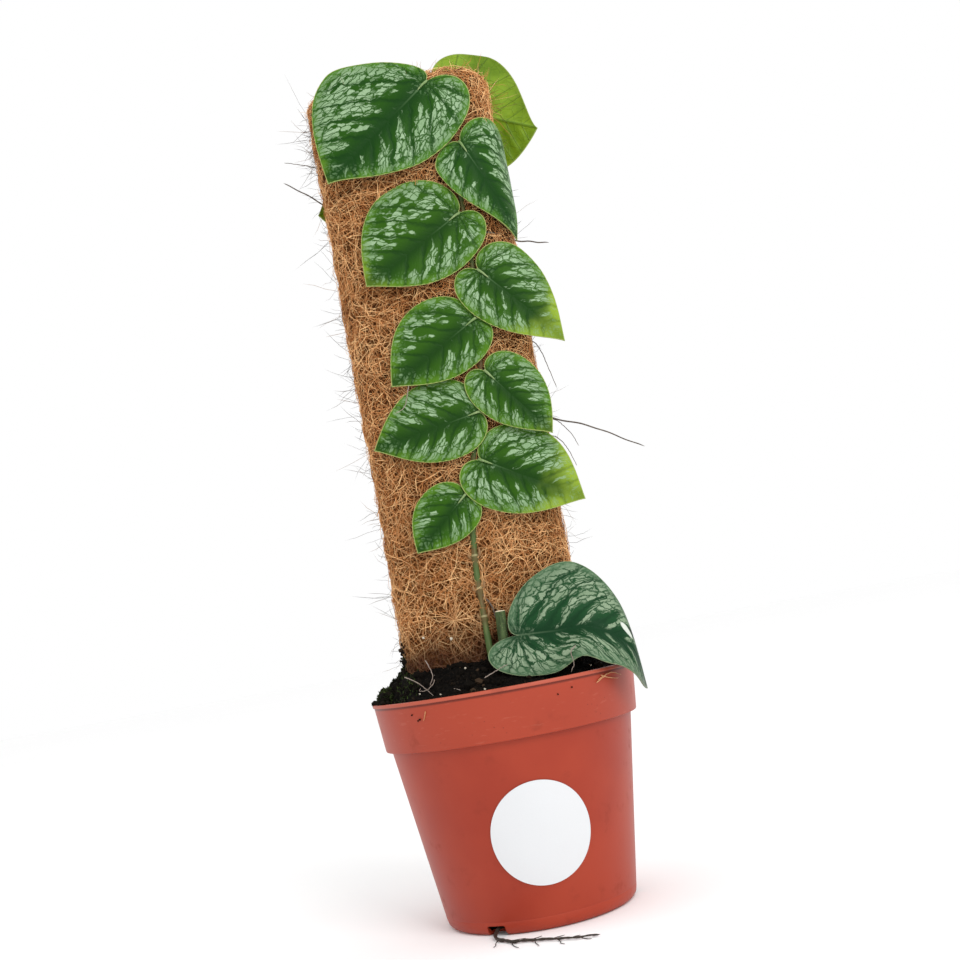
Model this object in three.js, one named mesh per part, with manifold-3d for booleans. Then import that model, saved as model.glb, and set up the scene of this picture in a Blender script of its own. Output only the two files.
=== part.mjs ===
import * as THREE from 'three';
import { mergeVertices } from 'three/addons/utils/BufferGeometryUtils.js';
import Module from 'manifold-3d';

// A shingle plant that climbs a coir board in a nursery pot. Millimetres, +Z up,
// the front on the -Y side, and the origin under the middle of the pot's base.

// Clearance between pieces that lie against each other
const GAP = 0.3;

// Pot: moulded plastic with a stepped collar, a thin lip and notches in its foot
const RIM_RADIUS = 60;
const POT_HEIGHT = 101;
const POT_WALL = 1.4;
const LIP_HEIGHT = 1.6;
const LIP_PROUD = 0.6;
const LIP_ROUNDING = 0.4;
const COLLAR_HEIGHT = 21.6;
const COLLAR_FOOT_RADIUS = 57.2;
const COLLAR_ROUNDING = 0.6;
const SHOULDER_RADIUS = 54.6;
const BASE_RADIUS = 42.7;
const BASE_ROUNDING = 3.5;
const FLOOR_THICKNESS = 1.6;
const FLOOR_ROUNDING = 2;
const POT_SEGMENTS = 48;
const NOTCH_COUNT = 3;
const NOTCH_WIDTH = 8.5;
const NOTCH_HEIGHT = 4.3;
const NOTCH_DEPTH = 11;
const NOTCH_INSET = 3;
const FIRST_NOTCH_ANGLE = THREE.MathUtils.degToRad(-29);
const SHOULDER_HEIGHT = POT_HEIGHT - COLLAR_HEIGHT;
const RIM_INSIDE_RADIUS = RIM_RADIUS - LIP_PROUD - POT_WALL;

// Label: a round paper sticker on the pot's cone, right of the middle and low down
const LABEL_RADIUS = 21.5;
const LABEL_THICKNESS = 0.4;
const LABEL_GAP = 0.45;
const LABEL_HEIGHT = 40;
const LABEL_ANGLE = THREE.MathUtils.degToRad(6);

// Coir board: a thick mat of coir round a wooden batten
const BOARD_CENTRE_X = -1.2;
const BOARD_FOOT_WIDTH = 79.4;
const BOARD_HEAD_WIDTH = 84.4;
const BOARD_DEPTH = 44;
const BOARD_SQUARENESS = 4;
const BOARD_BOTTOM = 80;
const BOARD_TOP = 386;
const BOARD_EDGE_ROUNDING = 5;
const BOARD_RELIEF = 0.45;
const BATTEN_WIDTH = 20;
const BATTEN_DEPTH = 8;
const BATTEN_BOTTOM = 6;
const BATTEN_TOP = 372;

// Soil: it fills the pot and is heaped against the board
const SOIL_EDGE_HEIGHT = 98;
const SOIL_HEAP_HEIGHT = 113;
const SOIL_RINGS = 8;
const SOIL_SECTORS = 40;
const CLOD_HEIGHT = 1.1;
const SOIL_GAP = 0.5;
const SOIL_FOOT_ROUNDING = 2.4;
const SOIL_EDGE_RADIUS = RIM_INSIDE_RADIUS - SOIL_GAP - 0.5;

// Vine stems: they lie half sunk in the coir, with a swollen node and a stalk for each leaf
const STEM_RADIUS = 1.5;
const STEM_TIP_RADIUS = 1.28;
const STEM_SINK = 0.3;
const NODE_RADIUS = 1.9;
const NODE_BELOW_LEAF = 7;
const STALK_FOOT_RADIUS = 1.04;
const STALK_RADIUS = 0.8;
const STALK_SEAT = 0.05;
const ROOT_RADIUS = 0.6;
const ROOT_TIP_RADIUS = 0.36;

// Leaves: each lies over the one below it like a shingle, further out at its foot
const BLADE_THICKNESS = 0.65;
const LEAF_REST = 3.8;
const LEAF_SLOPE = 0.08;
const LEAF_CUP = 0.0012;
const MARGIN_WAVE = 0.25;
const USUAL_BEND = 28;

const wasm = await Module();
wasm.setup();

function random(seed) {
  let state = seed;
  return () => {
    state = (state * 1664525 + 1013904223) % 4294967296;
    return state / 4294967296;
  };
}

function smoothstep(from, to, value) {
  const t = THREE.MathUtils.clamp((value - from) / (to - from), 0, 1);
  return t * t * (3 - 2 * t);
}

// Solids for joining and cutting

function solid(geometry) {
  const bare = geometry.clone();
  bare.deleteAttribute('normal');
  bare.deleteAttribute('uv');
  const merged = mergeVertices(bare, 1e-4);
  return new wasm.Manifold(new wasm.Mesh({
    numProp: 3,
    vertProperties: new Float32Array(merged.attributes.position.array),
    triVerts: new Uint32Array(merged.index.array),
  }));
}

function geometry(manifold) {
  const mesh = manifold.getMesh();
  const result = new THREE.BufferGeometry();
  result.setAttribute('position', new THREE.BufferAttribute(mesh.vertProperties, 3));
  result.setIndex(new THREE.BufferAttribute(mesh.triVerts, 1));
  result.computeVertexNormals();
  return result;
}

function joined(geometries) {
  return geometries.map(solid).reduce((whole, part) => whole.add(part));
}

// A round rod along a smooth path, whose radius runs from one end's to the other's

function rod(points, startRadius, endRadius, sides, steps) {
  const path = new THREE.CatmullRomCurve3(points.map((p) => new THREE.Vector3(...p)));
  const section = new THREE.Shape();
  for (let i = 0; i < sides; i += 1) {
    const angle = (i / sides) * 2 * Math.PI;
    const x = startRadius * Math.cos(angle);
    const y = startRadius * Math.sin(angle);
    if (i === 0) section.moveTo(x, y);
    else section.lineTo(x, y);
  }
  const result = new THREE.ExtrudeGeometry(section, { extrudePath: path, steps });
  const stations = path.getSpacedPoints(steps);
  const position = result.attributes.position;
  const vertex = new THREE.Vector3();
  for (let i = 0; i < position.count; i += 1) {
    vertex.fromBufferAttribute(position, i);
    const distances = stations.map((station) => station.distanceTo(vertex));
    const nearest = distances.indexOf(Math.min(...distances));
    const radius = THREE.MathUtils.lerp(startRadius, endRadius, nearest / steps);
    vertex.sub(stations[nearest]).multiplyScalar(radius / startRadius).add(stations[nearest]);
    position.setXYZ(i, vertex.x, vertex.y, vertex.z);
  }
  return result;
}

function ball(centre, radius) {
  return new THREE.SphereGeometry(radius, 7, 5).translate(...centre);
}

// A thin blade of even thickness: its flat outline is filled with rings round a middle
// point, and place() says where each flat point lies in space

function blade(outline, middle, place, thickness, rings) {
  const flat = [middle];
  rings.forEach((share) => {
    outline.forEach((p) => flat.push(middle.clone().lerp(p, share)));
  });
  const step = 0.2;
  const faces = [[], []];
  flat.forEach((p) => {
    const here = place(p.x, p.y);
    const alongX = place(p.x + step, p.y).sub(here);
    const alongY = place(p.x, p.y + step).sub(here);
    const normal = alongX.cross(alongY).normalize();
    faces[0].push(here.clone().addScaledVector(normal, thickness / 2));
    faces[1].push(here.clone().addScaledVector(normal, -thickness / 2));
  });
  const count = outline.length;
  const ringStart = (ring) => 1 + ring * count;
  const triangles = [];
  for (let i = 0; i < count; i += 1) {
    const next = (i + 1) % count;
    triangles.push([0, ringStart(0) + i, ringStart(0) + next]);
    for (let ring = 0; ring + 1 < rings.length; ring += 1) {
      const inner = ringStart(ring);
      const outer = ringStart(ring + 1);
      triangles.push([inner + i, outer + i, outer + next]);
      triangles.push([inner + i, outer + next, inner + next]);
    }
  }
  const back = flat.length;
  const index = [];
  triangles.forEach(([a, b, c]) => {
    index.push(a, b, c);
    index.push(back + a, back + c, back + b);
  });
  const edge = ringStart(rings.length - 1);
  for (let i = 0; i < count; i += 1) {
    const a = edge + i;
    const b = edge + ((i + 1) % count);
    index.push(a, back + a, b);
    index.push(b, back + a, back + b);
  }
  const result = new THREE.BufferGeometry().setFromPoints([...faces[0], ...faces[1]]);
  result.setIndex(index);
  result.computeVertexNormals();
  return result;
}

// Heart-shaped leaf outline, counterclockwise. Its notch is at the origin and its tip at
// (0, length). Each half is given as shares of the length: its width, the height of its
// widest point, how far its lobe reaches behind the notch, the height of the curve's pull
// on its shoulder, and how full it stays to the tip

function heart(length, left, right, divisions) {
  const shape = new THREE.Shape();
  const side = (half, sign) => {
    const { width, widest = 0.35, lobe = 0.14, full = 0.25 } = half;
    const shoulder = half.shoulder ?? -1.35 * lobe;
    const rest = 1 - widest;
    return {
      lobeControls: [[0.05 * width, -1.5 * lobe], [width, shoulder], [width, widest]],
      tipControls: [[width, widest + 0.5 * rest], [full * width, widest + 0.8 * rest], [0, 1]],
      scaled: ([x, y]) => [sign * x * length, y * length],
    };
  };
  const r = side(right, 1);
  const l = side(left, -1);
  shape.moveTo(0, 0);
  shape.bezierCurveTo(...r.lobeControls.flatMap(r.scaled));
  shape.bezierCurveTo(...r.tipControls.flatMap(r.scaled));
  const [nearWidest, nearTip] = l.tipControls;
  const [nearNotch, behindLobe, widestPoint] = l.lobeControls;
  shape.bezierCurveTo(...[nearTip, nearWidest, widestPoint].flatMap(l.scaled));
  shape.bezierCurveTo(...[behindLobe, nearNotch, [0, 0]].flatMap(l.scaled));
  return shape.getPoints(divisions).slice(0, -1);
}

// The board's surface, seen across its width

function boardHalfDepth(x) {
  const share = Math.abs(x - BOARD_CENTRE_X) / (BOARD_FOOT_WIDTH / 2);
  if (share >= 1) return 0;
  return (BOARD_DEPTH / 2) * (1 - share ** BOARD_SQUARENESS) ** (1 / BOARD_SQUARENESS);
}

// A point at a lift above the board's face; face is -1 on the front and 1 on the back

function onBoard(face, x, z, lift) {
  return [x, face * (boardHalfDepth(x) + lift), z];
}

// Pot

function potGeometry() {
  const profile = [new THREE.Vector2(0, 0)];
  for (let i = 0; i <= 3; i += 1) {
    const angle = (i / 3) * (Math.PI / 2);
    profile.push(new THREE.Vector2(
      BASE_RADIUS - BASE_ROUNDING * (1 - Math.sin(angle)),
      BASE_ROUNDING * (1 - Math.cos(angle)),
    ));
  }
  profile.push(
    new THREE.Vector2(SHOULDER_RADIUS, SHOULDER_HEIGHT),
    new THREE.Vector2(COLLAR_FOOT_RADIUS - COLLAR_ROUNDING, SHOULDER_HEIGHT),
    new THREE.Vector2(COLLAR_FOOT_RADIUS, SHOULDER_HEIGHT + COLLAR_ROUNDING),
    new THREE.Vector2(RIM_RADIUS - LIP_PROUD, POT_HEIGHT - LIP_HEIGHT),
    new THREE.Vector2(RIM_RADIUS, POT_HEIGHT - LIP_HEIGHT + LIP_ROUNDING),
    new THREE.Vector2(RIM_RADIUS, POT_HEIGHT - LIP_ROUNDING),
    new THREE.Vector2(RIM_RADIUS - LIP_ROUNDING, POT_HEIGHT),
    new THREE.Vector2(RIM_INSIDE_RADIUS, POT_HEIGHT),
    new THREE.Vector2(COLLAR_FOOT_RADIUS - POT_WALL, SHOULDER_HEIGHT + POT_WALL),
    new THREE.Vector2(SHOULDER_RADIUS - POT_WALL, SHOULDER_HEIGHT + POT_WALL),
    new THREE.Vector2(BASE_RADIUS - POT_WALL, FLOOR_THICKNESS + FLOOR_ROUNDING),
    new THREE.Vector2(BASE_RADIUS - POT_WALL - FLOOR_ROUNDING, FLOOR_THICKNESS),
    new THREE.Vector2(0, FLOOR_THICKNESS),
  );
  let pot = solid(new THREE.LatheGeometry(profile, POT_SEGMENTS).rotateX(Math.PI / 2));
  for (let i = 0; i < NOTCH_COUNT; i += 1) {
    const angle = FIRST_NOTCH_ANGLE + (i / NOTCH_COUNT) * 2 * Math.PI;
    const notch = new THREE.BoxGeometry(NOTCH_WIDTH, NOTCH_DEPTH, 2 * NOTCH_HEIGHT);
    notch.translate(0, NOTCH_INSET - BASE_RADIUS, 0).rotateZ(angle);
    pot = pot.subtract(solid(notch));
  }
  return geometry(pot);
}

// Label, bent round the pot's cone

function labelGeometry() {
  const rise = (SHOULDER_RADIUS - BASE_RADIUS) / (SHOULDER_HEIGHT - BASE_ROUNDING);
  const outline = new THREE.Shape().absarc(0, 0, LABEL_RADIUS, 0, 2 * Math.PI).getPoints(14);
  const coneRadius = (z) => BASE_RADIUS + rise * (z - BASE_ROUNDING);
  const place = (x, y) => {
    const z = LABEL_HEIGHT + y;
    const angle = LABEL_ANGLE + x / coneRadius(LABEL_HEIGHT);
    const radius = coneRadius(z) + LABEL_GAP + LABEL_THICKNESS / 2;
    return new THREE.Vector3(radius * Math.sin(angle), -radius * Math.cos(angle), z);
  };
  const middle = new THREE.Vector2(0, 0);
  return blade(outline.slice(0, -1), middle, place, LABEL_THICKNESS, [0.5, 1]);
}

// Coir board, with a slot for the batten and shallow beds for what lies in it

function boardSection(margin) {
  const section = new THREE.Shape();
  const corners = 32;
  for (let i = 0; i < corners; i += 1) {
    const angle = ((i + 0.5) / corners) * 2 * Math.PI;
    const power = (value) => Math.sign(value) * Math.abs(value) ** (2 / BOARD_SQUARENESS);
    const x = BOARD_CENTRE_X + (BOARD_FOOT_WIDTH / 2 + margin) * power(Math.cos(angle));
    const y = (BOARD_DEPTH / 2 + margin) * power(Math.sin(angle));
    if (i === 0) section.moveTo(x, y);
    else section.lineTo(x, y);
  }
  return section;
}

function boardGeometry(beds) {
  const rounding = BOARD_EDGE_ROUNDING;
  const board = new THREE.ExtrudeGeometry(boardSection(-BOARD_RELIEF), {
    depth: BOARD_TOP - BOARD_BOTTOM - 2 * rounding,
    steps: 14,
    bevelThickness: rounding,
    bevelSize: rounding,
    bevelOffset: -rounding,
    bevelSegments: 1,
  }).translate(0, 0, BOARD_BOTTOM + rounding);
  const position = board.attributes.position;
  for (let i = 0; i < position.count; i += 1) {
    const y = position.getY(i);
    const z = position.getZ(i);
    const rise = smoothstep(SOIL_HEAP_HEIGHT, BOARD_TOP, z);
    const spread = THREE.MathUtils.lerp(1, BOARD_HEAD_WIDTH / BOARD_FOOT_WIDTH, rise);
    const x = (position.getX(i) - BOARD_CENTRE_X) * spread;
    const relief = BOARD_RELIEF * Math.sin(0.11 * x + 0.19 * z) * Math.cos(0.23 * x - 0.13 * z);
    const reach = Math.hypot(x, y);
    const grow = reach > 1 ? 1 + relief / reach : 1;
    position.setXYZ(i, BOARD_CENTRE_X + x * grow, y * grow, z);
  }
  const slotHeight = BATTEN_TOP + GAP - BOARD_BOTTOM + 1;
  const slot = new THREE.BoxGeometry(BATTEN_WIDTH + 2 * GAP, BATTEN_DEPTH + 2 * GAP, slotHeight);
  slot.translate(BOARD_CENTRE_X, 0, BATTEN_TOP + GAP - slotHeight / 2);
  const slotted = solid(board).subtract(solid(slot));
  return geometry(beds.reduce((rest, bed) => rest.subtract(bed), slotted));
}

function battenGeometry() {
  const batten = new THREE.BoxGeometry(BATTEN_WIDTH, BATTEN_DEPTH, BATTEN_TOP - BATTEN_BOTTOM);
  return batten.translate(BOARD_CENTRE_X, 0, (BATTEN_TOP + BATTEN_BOTTOM) / 2);
}

// Soil: a crumbly heap against the board, with a mossy lump at the left of the rim

const SOIL_LUMPS = [
  { x: -50, y: -9, height: 6, spread: 7 },
  { x: -46, y: 6, height: 9, spread: 6 },
  { x: 30, y: -38, height: 2, spread: 9 },
  { x: 44, y: 20, height: 4, spread: 8 },
  { x: -20, y: 42, height: 3, spread: 10 },
];

function soilTop(x, y, clods) {
  const corner = 4;
  const beside = Math.max(0, Math.abs(x - BOARD_CENTRE_X) - BOARD_FOOT_WIDTH / 2 + corner);
  const ahead = Math.max(0, Math.abs(y) - BOARD_DEPTH / 2 + corner);
  const fromBoard = Math.hypot(beside, ahead);
  const fromWall = Math.max(0, SOIL_EDGE_RADIUS - Math.hypot(x, y));
  const heap = smoothstep(0, 0.9, fromWall / (fromWall + fromBoard + 0.01));
  const lumps = SOIL_LUMPS.reduce((sum, lump) => {
    const distance = Math.hypot(x - lump.x, y - lump.y) / lump.spread;
    return sum + lump.height * Math.exp(-distance * distance);
  }, 0);
  return SOIL_EDGE_HEIGHT + (SOIL_HEAP_HEIGHT - SOIL_EDGE_HEIGHT) * heap + lumps + clods;
}

function soilGeometry(holes) {
  const inset = POT_WALL + SOIL_GAP;
  const floor = FLOOR_THICKNESS + GAP;
  const ledge = SHOULDER_HEIGHT + POT_WALL + SOIL_GAP;
  const profile = [
    new THREE.Vector2(0, floor),
    new THREE.Vector2(BASE_RADIUS - inset - SOIL_FOOT_ROUNDING, floor),
    new THREE.Vector2(BASE_RADIUS - inset, floor + SOIL_FOOT_ROUNDING),
    new THREE.Vector2(SHOULDER_RADIUS - inset, SHOULDER_HEIGHT),
    new THREE.Vector2(SHOULDER_RADIUS - inset, ledge),
    new THREE.Vector2(COLLAR_FOOT_RADIUS - inset, ledge),
  ];
  for (let i = 0; i <= SOIL_RINGS; i += 1) {
    profile.push(new THREE.Vector2(SOIL_EDGE_RADIUS * (1 - i / SOIL_RINGS), SOIL_EDGE_HEIGHT));
  }
  const lathe = new THREE.LatheGeometry(profile, SOIL_SECTORS).rotateX(Math.PI / 2);
  lathe.deleteAttribute('normal');
  lathe.deleteAttribute('uv');
  const soil = mergeVertices(lathe, 1e-3);
  const position = soil.attributes.position;
  const draw = random(11);
  for (let i = 0; i < position.count; i += 1) {
    const x = position.getX(i);
    const y = position.getY(i);
    if (position.getZ(i) > SOIL_EDGE_HEIGHT - 0.01) {
      position.setZ(i, soilTop(x, y, CLOD_HEIGHT * (2 * draw() - 1)));
    }
  }
  return geometry(holes.reduce((rest, hole) => rest.subtract(hole), solid(soil)));
}

// Holes in the soil for the board and the batten

function boardHole() {
  const height = BOARD_TOP - BOARD_BOTTOM;
  const hole = new THREE.ExtrudeGeometry(boardSection(GAP), { depth: height, bevelEnabled: false });
  return hole.translate(0, 0, BOARD_BOTTOM - GAP);
}

function battenHole() {
  const height = BOARD_BOTTOM - BATTEN_BOTTOM + 1;
  const hole = new THREE.BoxGeometry(BATTEN_WIDTH + 2 * GAP, BATTEN_DEPTH + 2 * GAP, height);
  return hole.translate(BOARD_CENTRE_X, 0, BATTEN_BOTTOM - GAP + height / 2);
}

// Vine leaves, from the top of the board down. notch is the end of the leaf's stalk as
// [x, z] on the board's face, and aim the angle in degrees from straight down to the tip,
// positive to +X. With the tip turned straight down, right is the half on the +X side

const FRONT_LEAVES = [
  {
    name: 'leaf_front_01', notch: [12.5, 377], length: 65.9, aim: -51.5, wrap: 60,
    left: { width: 0.57, widest: 0.41, lobe: 0.16, shoulder: 0.22, full: 0.35 },
    right: { width: 0.42, widest: 0.24, lobe: 0.17, shoulder: -0.31, full: 0.17 },
  },
  {
    name: 'leaf_front_02', notch: [24, 345.1], length: 52.2, aim: 24.6, bend: 24, wrap: 21.7,
    left: { width: 0.32, widest: 0.11, lobe: 0.09, shoulder: -0.05, full: 0.09 },
    right: { width: 0.56, widest: 0.26, lobe: 0.13, shoulder: -0.27, full: 0.26 },
  },
  {
    name: 'leaf_front_03', notch: [16.4, 312.3], length: 53.2, aim: -59.9, wrap: 60,
    left: { width: 0.56, widest: 0.38, lobe: 0.12, full: 0.4 },
    right: { width: 0.39, widest: 0.28, lobe: 0.17 },
  },
  {
    name: 'leaf_front_04', notch: [22.1, 284.3], length: 50.2, aim: 41, wrap: 70,
    left: { width: 0.35, widest: 0.2, lobe: 0.15 },
    right: { width: 0.41, widest: 0.18, lobe: 0.13, full: 0.3 },
  },
  {
    name: 'leaf_front_05', notch: [15.6, 262.9], length: 48.4, aim: -59.4, wrap: 60,
    left: { width: 0.46, widest: 0.38, lobe: 0.06, full: 0.35 },
    right: { width: 0.34, widest: 0.28, lobe: 0.1 },
  },
  {
    name: 'leaf_front_06', notch: [17.1, 237.7], length: 40.2, aim: 36.8, wrap: 60,
    left: { width: 0.37, widest: 0.22, lobe: 0.16 },
    right: { width: 0.42, widest: 0.3, lobe: 0.13, full: 0.35 },
  },
  {
    name: 'leaf_front_07', notch: [10, 220.7], length: 49.5, aim: -79.3, wrap: 60,
    left: { width: 0.43, widest: 0.36, lobe: 0.06, full: 0.35 },
    right: { width: 0.33, widest: 0.3, lobe: 0.06 },
  },
  {
    name: 'leaf_front_08', notch: [8.1, 198.9], length: 49.1, aim: 60, wrap: 70,
    left: { width: 0.39, widest: 0.2, lobe: 0.16 },
    right: { width: 0.46, widest: 0.38, lobe: 0.1, full: 0.3 },
  },
  {
    name: 'leaf_front_09', notch: [-2.2, 185.1], length: 33.3, aim: -48.4, wrap: 60, sunk: 0.25,
    left: { width: 0.44, widest: 0.38, lobe: 0.08, full: 0.4 },
    right: { width: 0.38, widest: 0.25, lobe: 0.08 },
  },
];

const BACK_LEAVES = [
  {
    name: 'leaf_back_01', notch: [27.2, 385.2], length: 44, aim: 62.4, wrap: 90,
    left: { width: 0.58, widest: 0.58, lobe: 0.14, full: 0.53 },
    right: { width: 0.64, widest: 0.17, lobe: 0.31, shoulder: -0.65, full: 0.06 },
  },
  {
    name: 'leaf_back_02', notch: [-8, 352.5], length: 44, aim: -75, wrap: 60,
    left: { width: 0.42, widest: 0.36 },
    right: { width: 0.44, widest: 0.4, full: 0.6 },
  },
  {
    name: 'leaf_back_03', notch: [5, 307], length: 48, aim: 46, wrap: 60,
    left: { width: 0.42, widest: 0.3 },
    right: { width: 0.42, widest: 0.3 },
  },
  {
    name: 'leaf_back_04', notch: [-9, 262], length: 44, aim: -48, wrap: 60,
    left: { width: 0.42, widest: 0.32 },
    right: { width: 0.41, widest: 0.3 },
  },
  {
    name: 'leaf_back_05', notch: [3, 219], length: 36, aim: 42, wrap: 60,
    left: { width: 0.42, widest: 0.32 },
    right: { width: 0.42, widest: 0.32 },
  },
];

// Where a point of a leaf's flat outline lies: on a plane that stands off the board like a
// shingle. Past a distance from the board's middle it bends back round the board's edge

function leafPlace(face, leaf) {
  const aim = THREE.MathUtils.degToRad(leaf.aim);
  const [notchX, notchZ] = leaf.notch;
  const bend = leaf.bend ?? USUAL_BEND;
  const tip = new THREE.Vector2(Math.sin(aim), -Math.cos(aim));
  return (u, v) => {
    const flatX = notchX + v * tip.x - u * tip.y;
    const z = notchZ + v * tip.y + u * tip.x;
    const fromMiddle = flatX - BOARD_CENTRE_X;
    const turn = Math.max(0, Math.abs(fromMiddle) - bend) / leaf.wrap;
    const straight = Math.min(Math.abs(fromMiddle), bend);
    const across = Math.sign(fromMiddle) * (straight + leaf.wrap * Math.sin(turn));
    const back = leaf.wrap * (1 - Math.cos(turn));
    const wave = MARGIN_WAVE * Math.sin(0.35 * v + 0.2 * notchZ) * smoothstep(8, 20, Math.abs(u));
    const rest = LEAF_REST - (leaf.sunk ?? 0);
    const lift = rest + LEAF_SLOPE * (notchZ - z) - LEAF_CUP * u * u + wave;
    return new THREE.Vector3(BOARD_CENTRE_X + across, face * (BOARD_DEPTH / 2 + lift - back), z);
  };
}

function leafGeometry(face, leaf) {
  const outline = heart(leaf.length, leaf.left, leaf.right, 6);
  const middle = new THREE.Vector2(0, 0.38 * leaf.length);
  return blade(outline, middle, leafPlace(face, leaf), BLADE_THICKNESS, [0.4, 0.75, 1]);
}

// Stem of a vine: it rises out of the soil, runs up the board past every notch, and
// carries a swollen node and a short stalk for each leaf

const FRONT_STEM = {
  inSoil: [[-3.4, -33, 88], [-3.2, -28, 104], [-3.2, -24.5, 118]],
  onBoard: [
    [-3.2, 134], [-3.1, 150], [-1.8, 167], [0.5, 184], [4, 199], [9.5, 218], [14, 237],
    [16.5, 262], [19, 284], [19.5, 312], [19.5, 344], [15.5, 371],
  ],
};

const BACK_STEM = {
  inSoil: [[-4, 34, 88], [-4, 28.5, 104], [-4, 24.5, 118]],
  onBoard: [
    [-3.5, 134], [-2.5, 165], [0, 205], [-2, 235], [-4.5, 262], [-2, 285], [0, 307],
    [-1.5, 330], [1, 352], [10, 369], [18, 377],
  ],
};

function stemRoute(face, stem) {
  return [...stem.inSoil, ...stem.onBoard.map(([x, z]) => onBoard(face, x, z, STEM_SINK))];
}

// The parts of a vine, or with extra the bed that holds it with that much room all round

function vineParts(face, stem, leaves, roots, extra) {
  const route = stemRoute(face, stem);
  const parts = [rod(route, STEM_RADIUS + extra, STEM_TIP_RADIUS + extra, 6, 34)];
  if (extra > 0) {
    const endRadius = STEM_RADIUS + 2 * extra;
    parts.push(ball(route[0], endRadius), ball(route.at(-1), endRadius));
  }
  const path = new THREE.CatmullRomCurve3(route.map((p) => new THREE.Vector3(...p)));
  const stations = path.getSpacedPoints(300);
  leaves.forEach((leaf) => {
    const place = leafPlace(face, leaf);
    const seat = place(0, STALK_SEAT * leaf.length);
    const below = BLADE_THICKNESS / 2 + 1.5 * GAP + STALK_RADIUS;
    const end = [seat.x, seat.y - face * below, seat.z];
    const nodeHeight = leaf.notch[1] - NODE_BELOW_LEAF;
    const start = stations.find((station) => station.z > nodeHeight) ?? stations.at(-1);
    const node = [start.x, start.y, start.z];
    const half = [(start.x + end[0]) / 2, end[1] + face * 0.1, (start.z + end[2]) / 2];
    parts.push(ball(node, NODE_RADIUS + extra));
    parts.push(rod([node, half, end], STALK_FOOT_RADIUS, STALK_RADIUS, 5, 3));
  });
  roots.forEach(({ from, reach }) => {
    const start = stations.find((station) => station.z > from);
    const points = [[start.x, start.y, start.z], ...reach];
    parts.push(rod(points, ROOT_RADIUS + extra, ROOT_TIP_RADIUS + extra, 4, 8));
  });
  return parts;
}

// Aerial roots, each from a height on its stem: some creep over the coir, and long ones
// reach out past the board's edges

const FRONT_ROOTS = [
  {
    from: 231,
    reach: [[24, -23.4, 223], [34, -22.6, 218], [44, -18, 213], [58, -17, 207.5], [81.5, -17, 193.5]],
  },
  {
    from: 301,
    reach: [[28, -21.6, 303], [35, -17.6, 302], [41, -10.5, 300.6], [48, -9, 299.3], [57, -9, 297]],
  },
  {
    from: 142,
    reach: [[-0.8, -23.4, 138.5], [1.2, -23.9, 134], [1.6, -23.7, 129]],
  },
];

const BACK_ROOTS = [
  {
    from: 334,
    reach: [
      [-18, 23.5, 337], [-33, 22.6, 339], [-44, 17.5, 342.5], [-54, 14.5, 350], [-63.5, 14, 357],
    ],
  },
  {
    from: 218,
    reach: [[-9, 23.4, 214], [-15, 23.4, 206]],
  },
];

// The base leaf arches out over the rim. Its midrib is a curve in space, and its halves
// fold down from it, the upper one back towards the board and the lower one forward

const BASE_LEAF_LENGTH = 71;
const BASE_BLADE_THICKNESS = 0.75;
const BASE_MIDRIB = new THREE.CatmullRomCurve3([
  [9.8, -34, 120.4], [23.8, -37, 119.6], [42, -40, 118], [56, -37, 107.5], [60.5, -31, 88.5],
].map((p) => new THREE.Vector3(...p)));
const UPPER_SIDE = [new THREE.Vector3(-0.1, 0.28, 0.95), new THREE.Vector3(0, 0.3, 0.66)];
const LOWER_SIDE = [new THREE.Vector3(-0.1, -0.55, -0.83), new THREE.Vector3(-0.16, -0.45, -0.56)];
const FOLD_ROUNDING = 4;
// Where the lower margin rises, as a share of the length, and by how much
const MARGIN_RISES = [[0.374, 4.9], [0.6, 1.4]];
const RISE_SPREAD = 0.11;
const RISE_WIDTH = 14;

function baseLeafPlace(u, v) {
  const share = THREE.MathUtils.clamp(v / BASE_LEAF_LENGTH, 0, 1);
  const onRib = BASE_MIDRIB.getPointAt(share);
  const overrun = v - share * BASE_LEAF_LENGTH;
  onRib.addScaledVector(BASE_MIDRIB.getTangentAt(share), overrun);
  const towardsTip = smoothstep(0.45, 1, share);
  const upper = UPPER_SIDE[0].clone().lerp(UPPER_SIDE[1], towardsTip).normalize();
  const lower = LOWER_SIDE[0].clone().lerp(LOWER_SIDE[1], towardsTip).normalize();
  const even = upper.clone().sub(lower).multiplyScalar(0.5);
  const folded = upper.clone().add(lower).multiplyScalar(0.5);
  const foldReach = Math.hypot(u, FOLD_ROUNDING) - FOLD_ROUNDING;
  const place = onRib.addScaledVector(even, u).addScaledVector(folded, foldReach);
  MARGIN_RISES.forEach(([along, height]) => {
    const near = Math.exp(-(((share - along) / RISE_SPREAD) ** 2));
    place.z += height * near * smoothstep(0, RISE_WIDTH, -u);
  });
  return place;
}

function baseLeafGeometry() {
  const upperHalf = { width: 0.436, widest: 0.44, lobe: 0.1, shoulder: 0.08, full: 0.16 };
  const lowerHalf = { width: 0.293, widest: 0.125, lobe: 0.194, full: 0.56 };
  const outline = heart(BASE_LEAF_LENGTH, lowerHalf, upperHalf, 11);
  const middle = new THREE.Vector2(0, 0.36 * BASE_LEAF_LENGTH);
  return blade(outline, middle, baseLeafPlace, BASE_BLADE_THICKNESS, [0.35, 0.7, 1]);
}

// Old growth at the foot of the board: a cut-off shoot, and the stalk of its one leaf

const STUB_TOP = [4.1, -28.3, 132.2];
const STUB_FOOT = [3, -30, 94];
const STUB_MIDDLE = [3.2, -29.2, 115];
const STUB_RADIUS = 2.5;
const STUB_TOP_RADIUS = 2.2;
const BASE_STALK_START = [3.8, -29, 117];
const BASE_STALK_FOOT_RADIUS = 1.95;
const BASE_STALK_RADIUS = 1.4;
const BASE_STALK_SEAT = 0.07;

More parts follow.
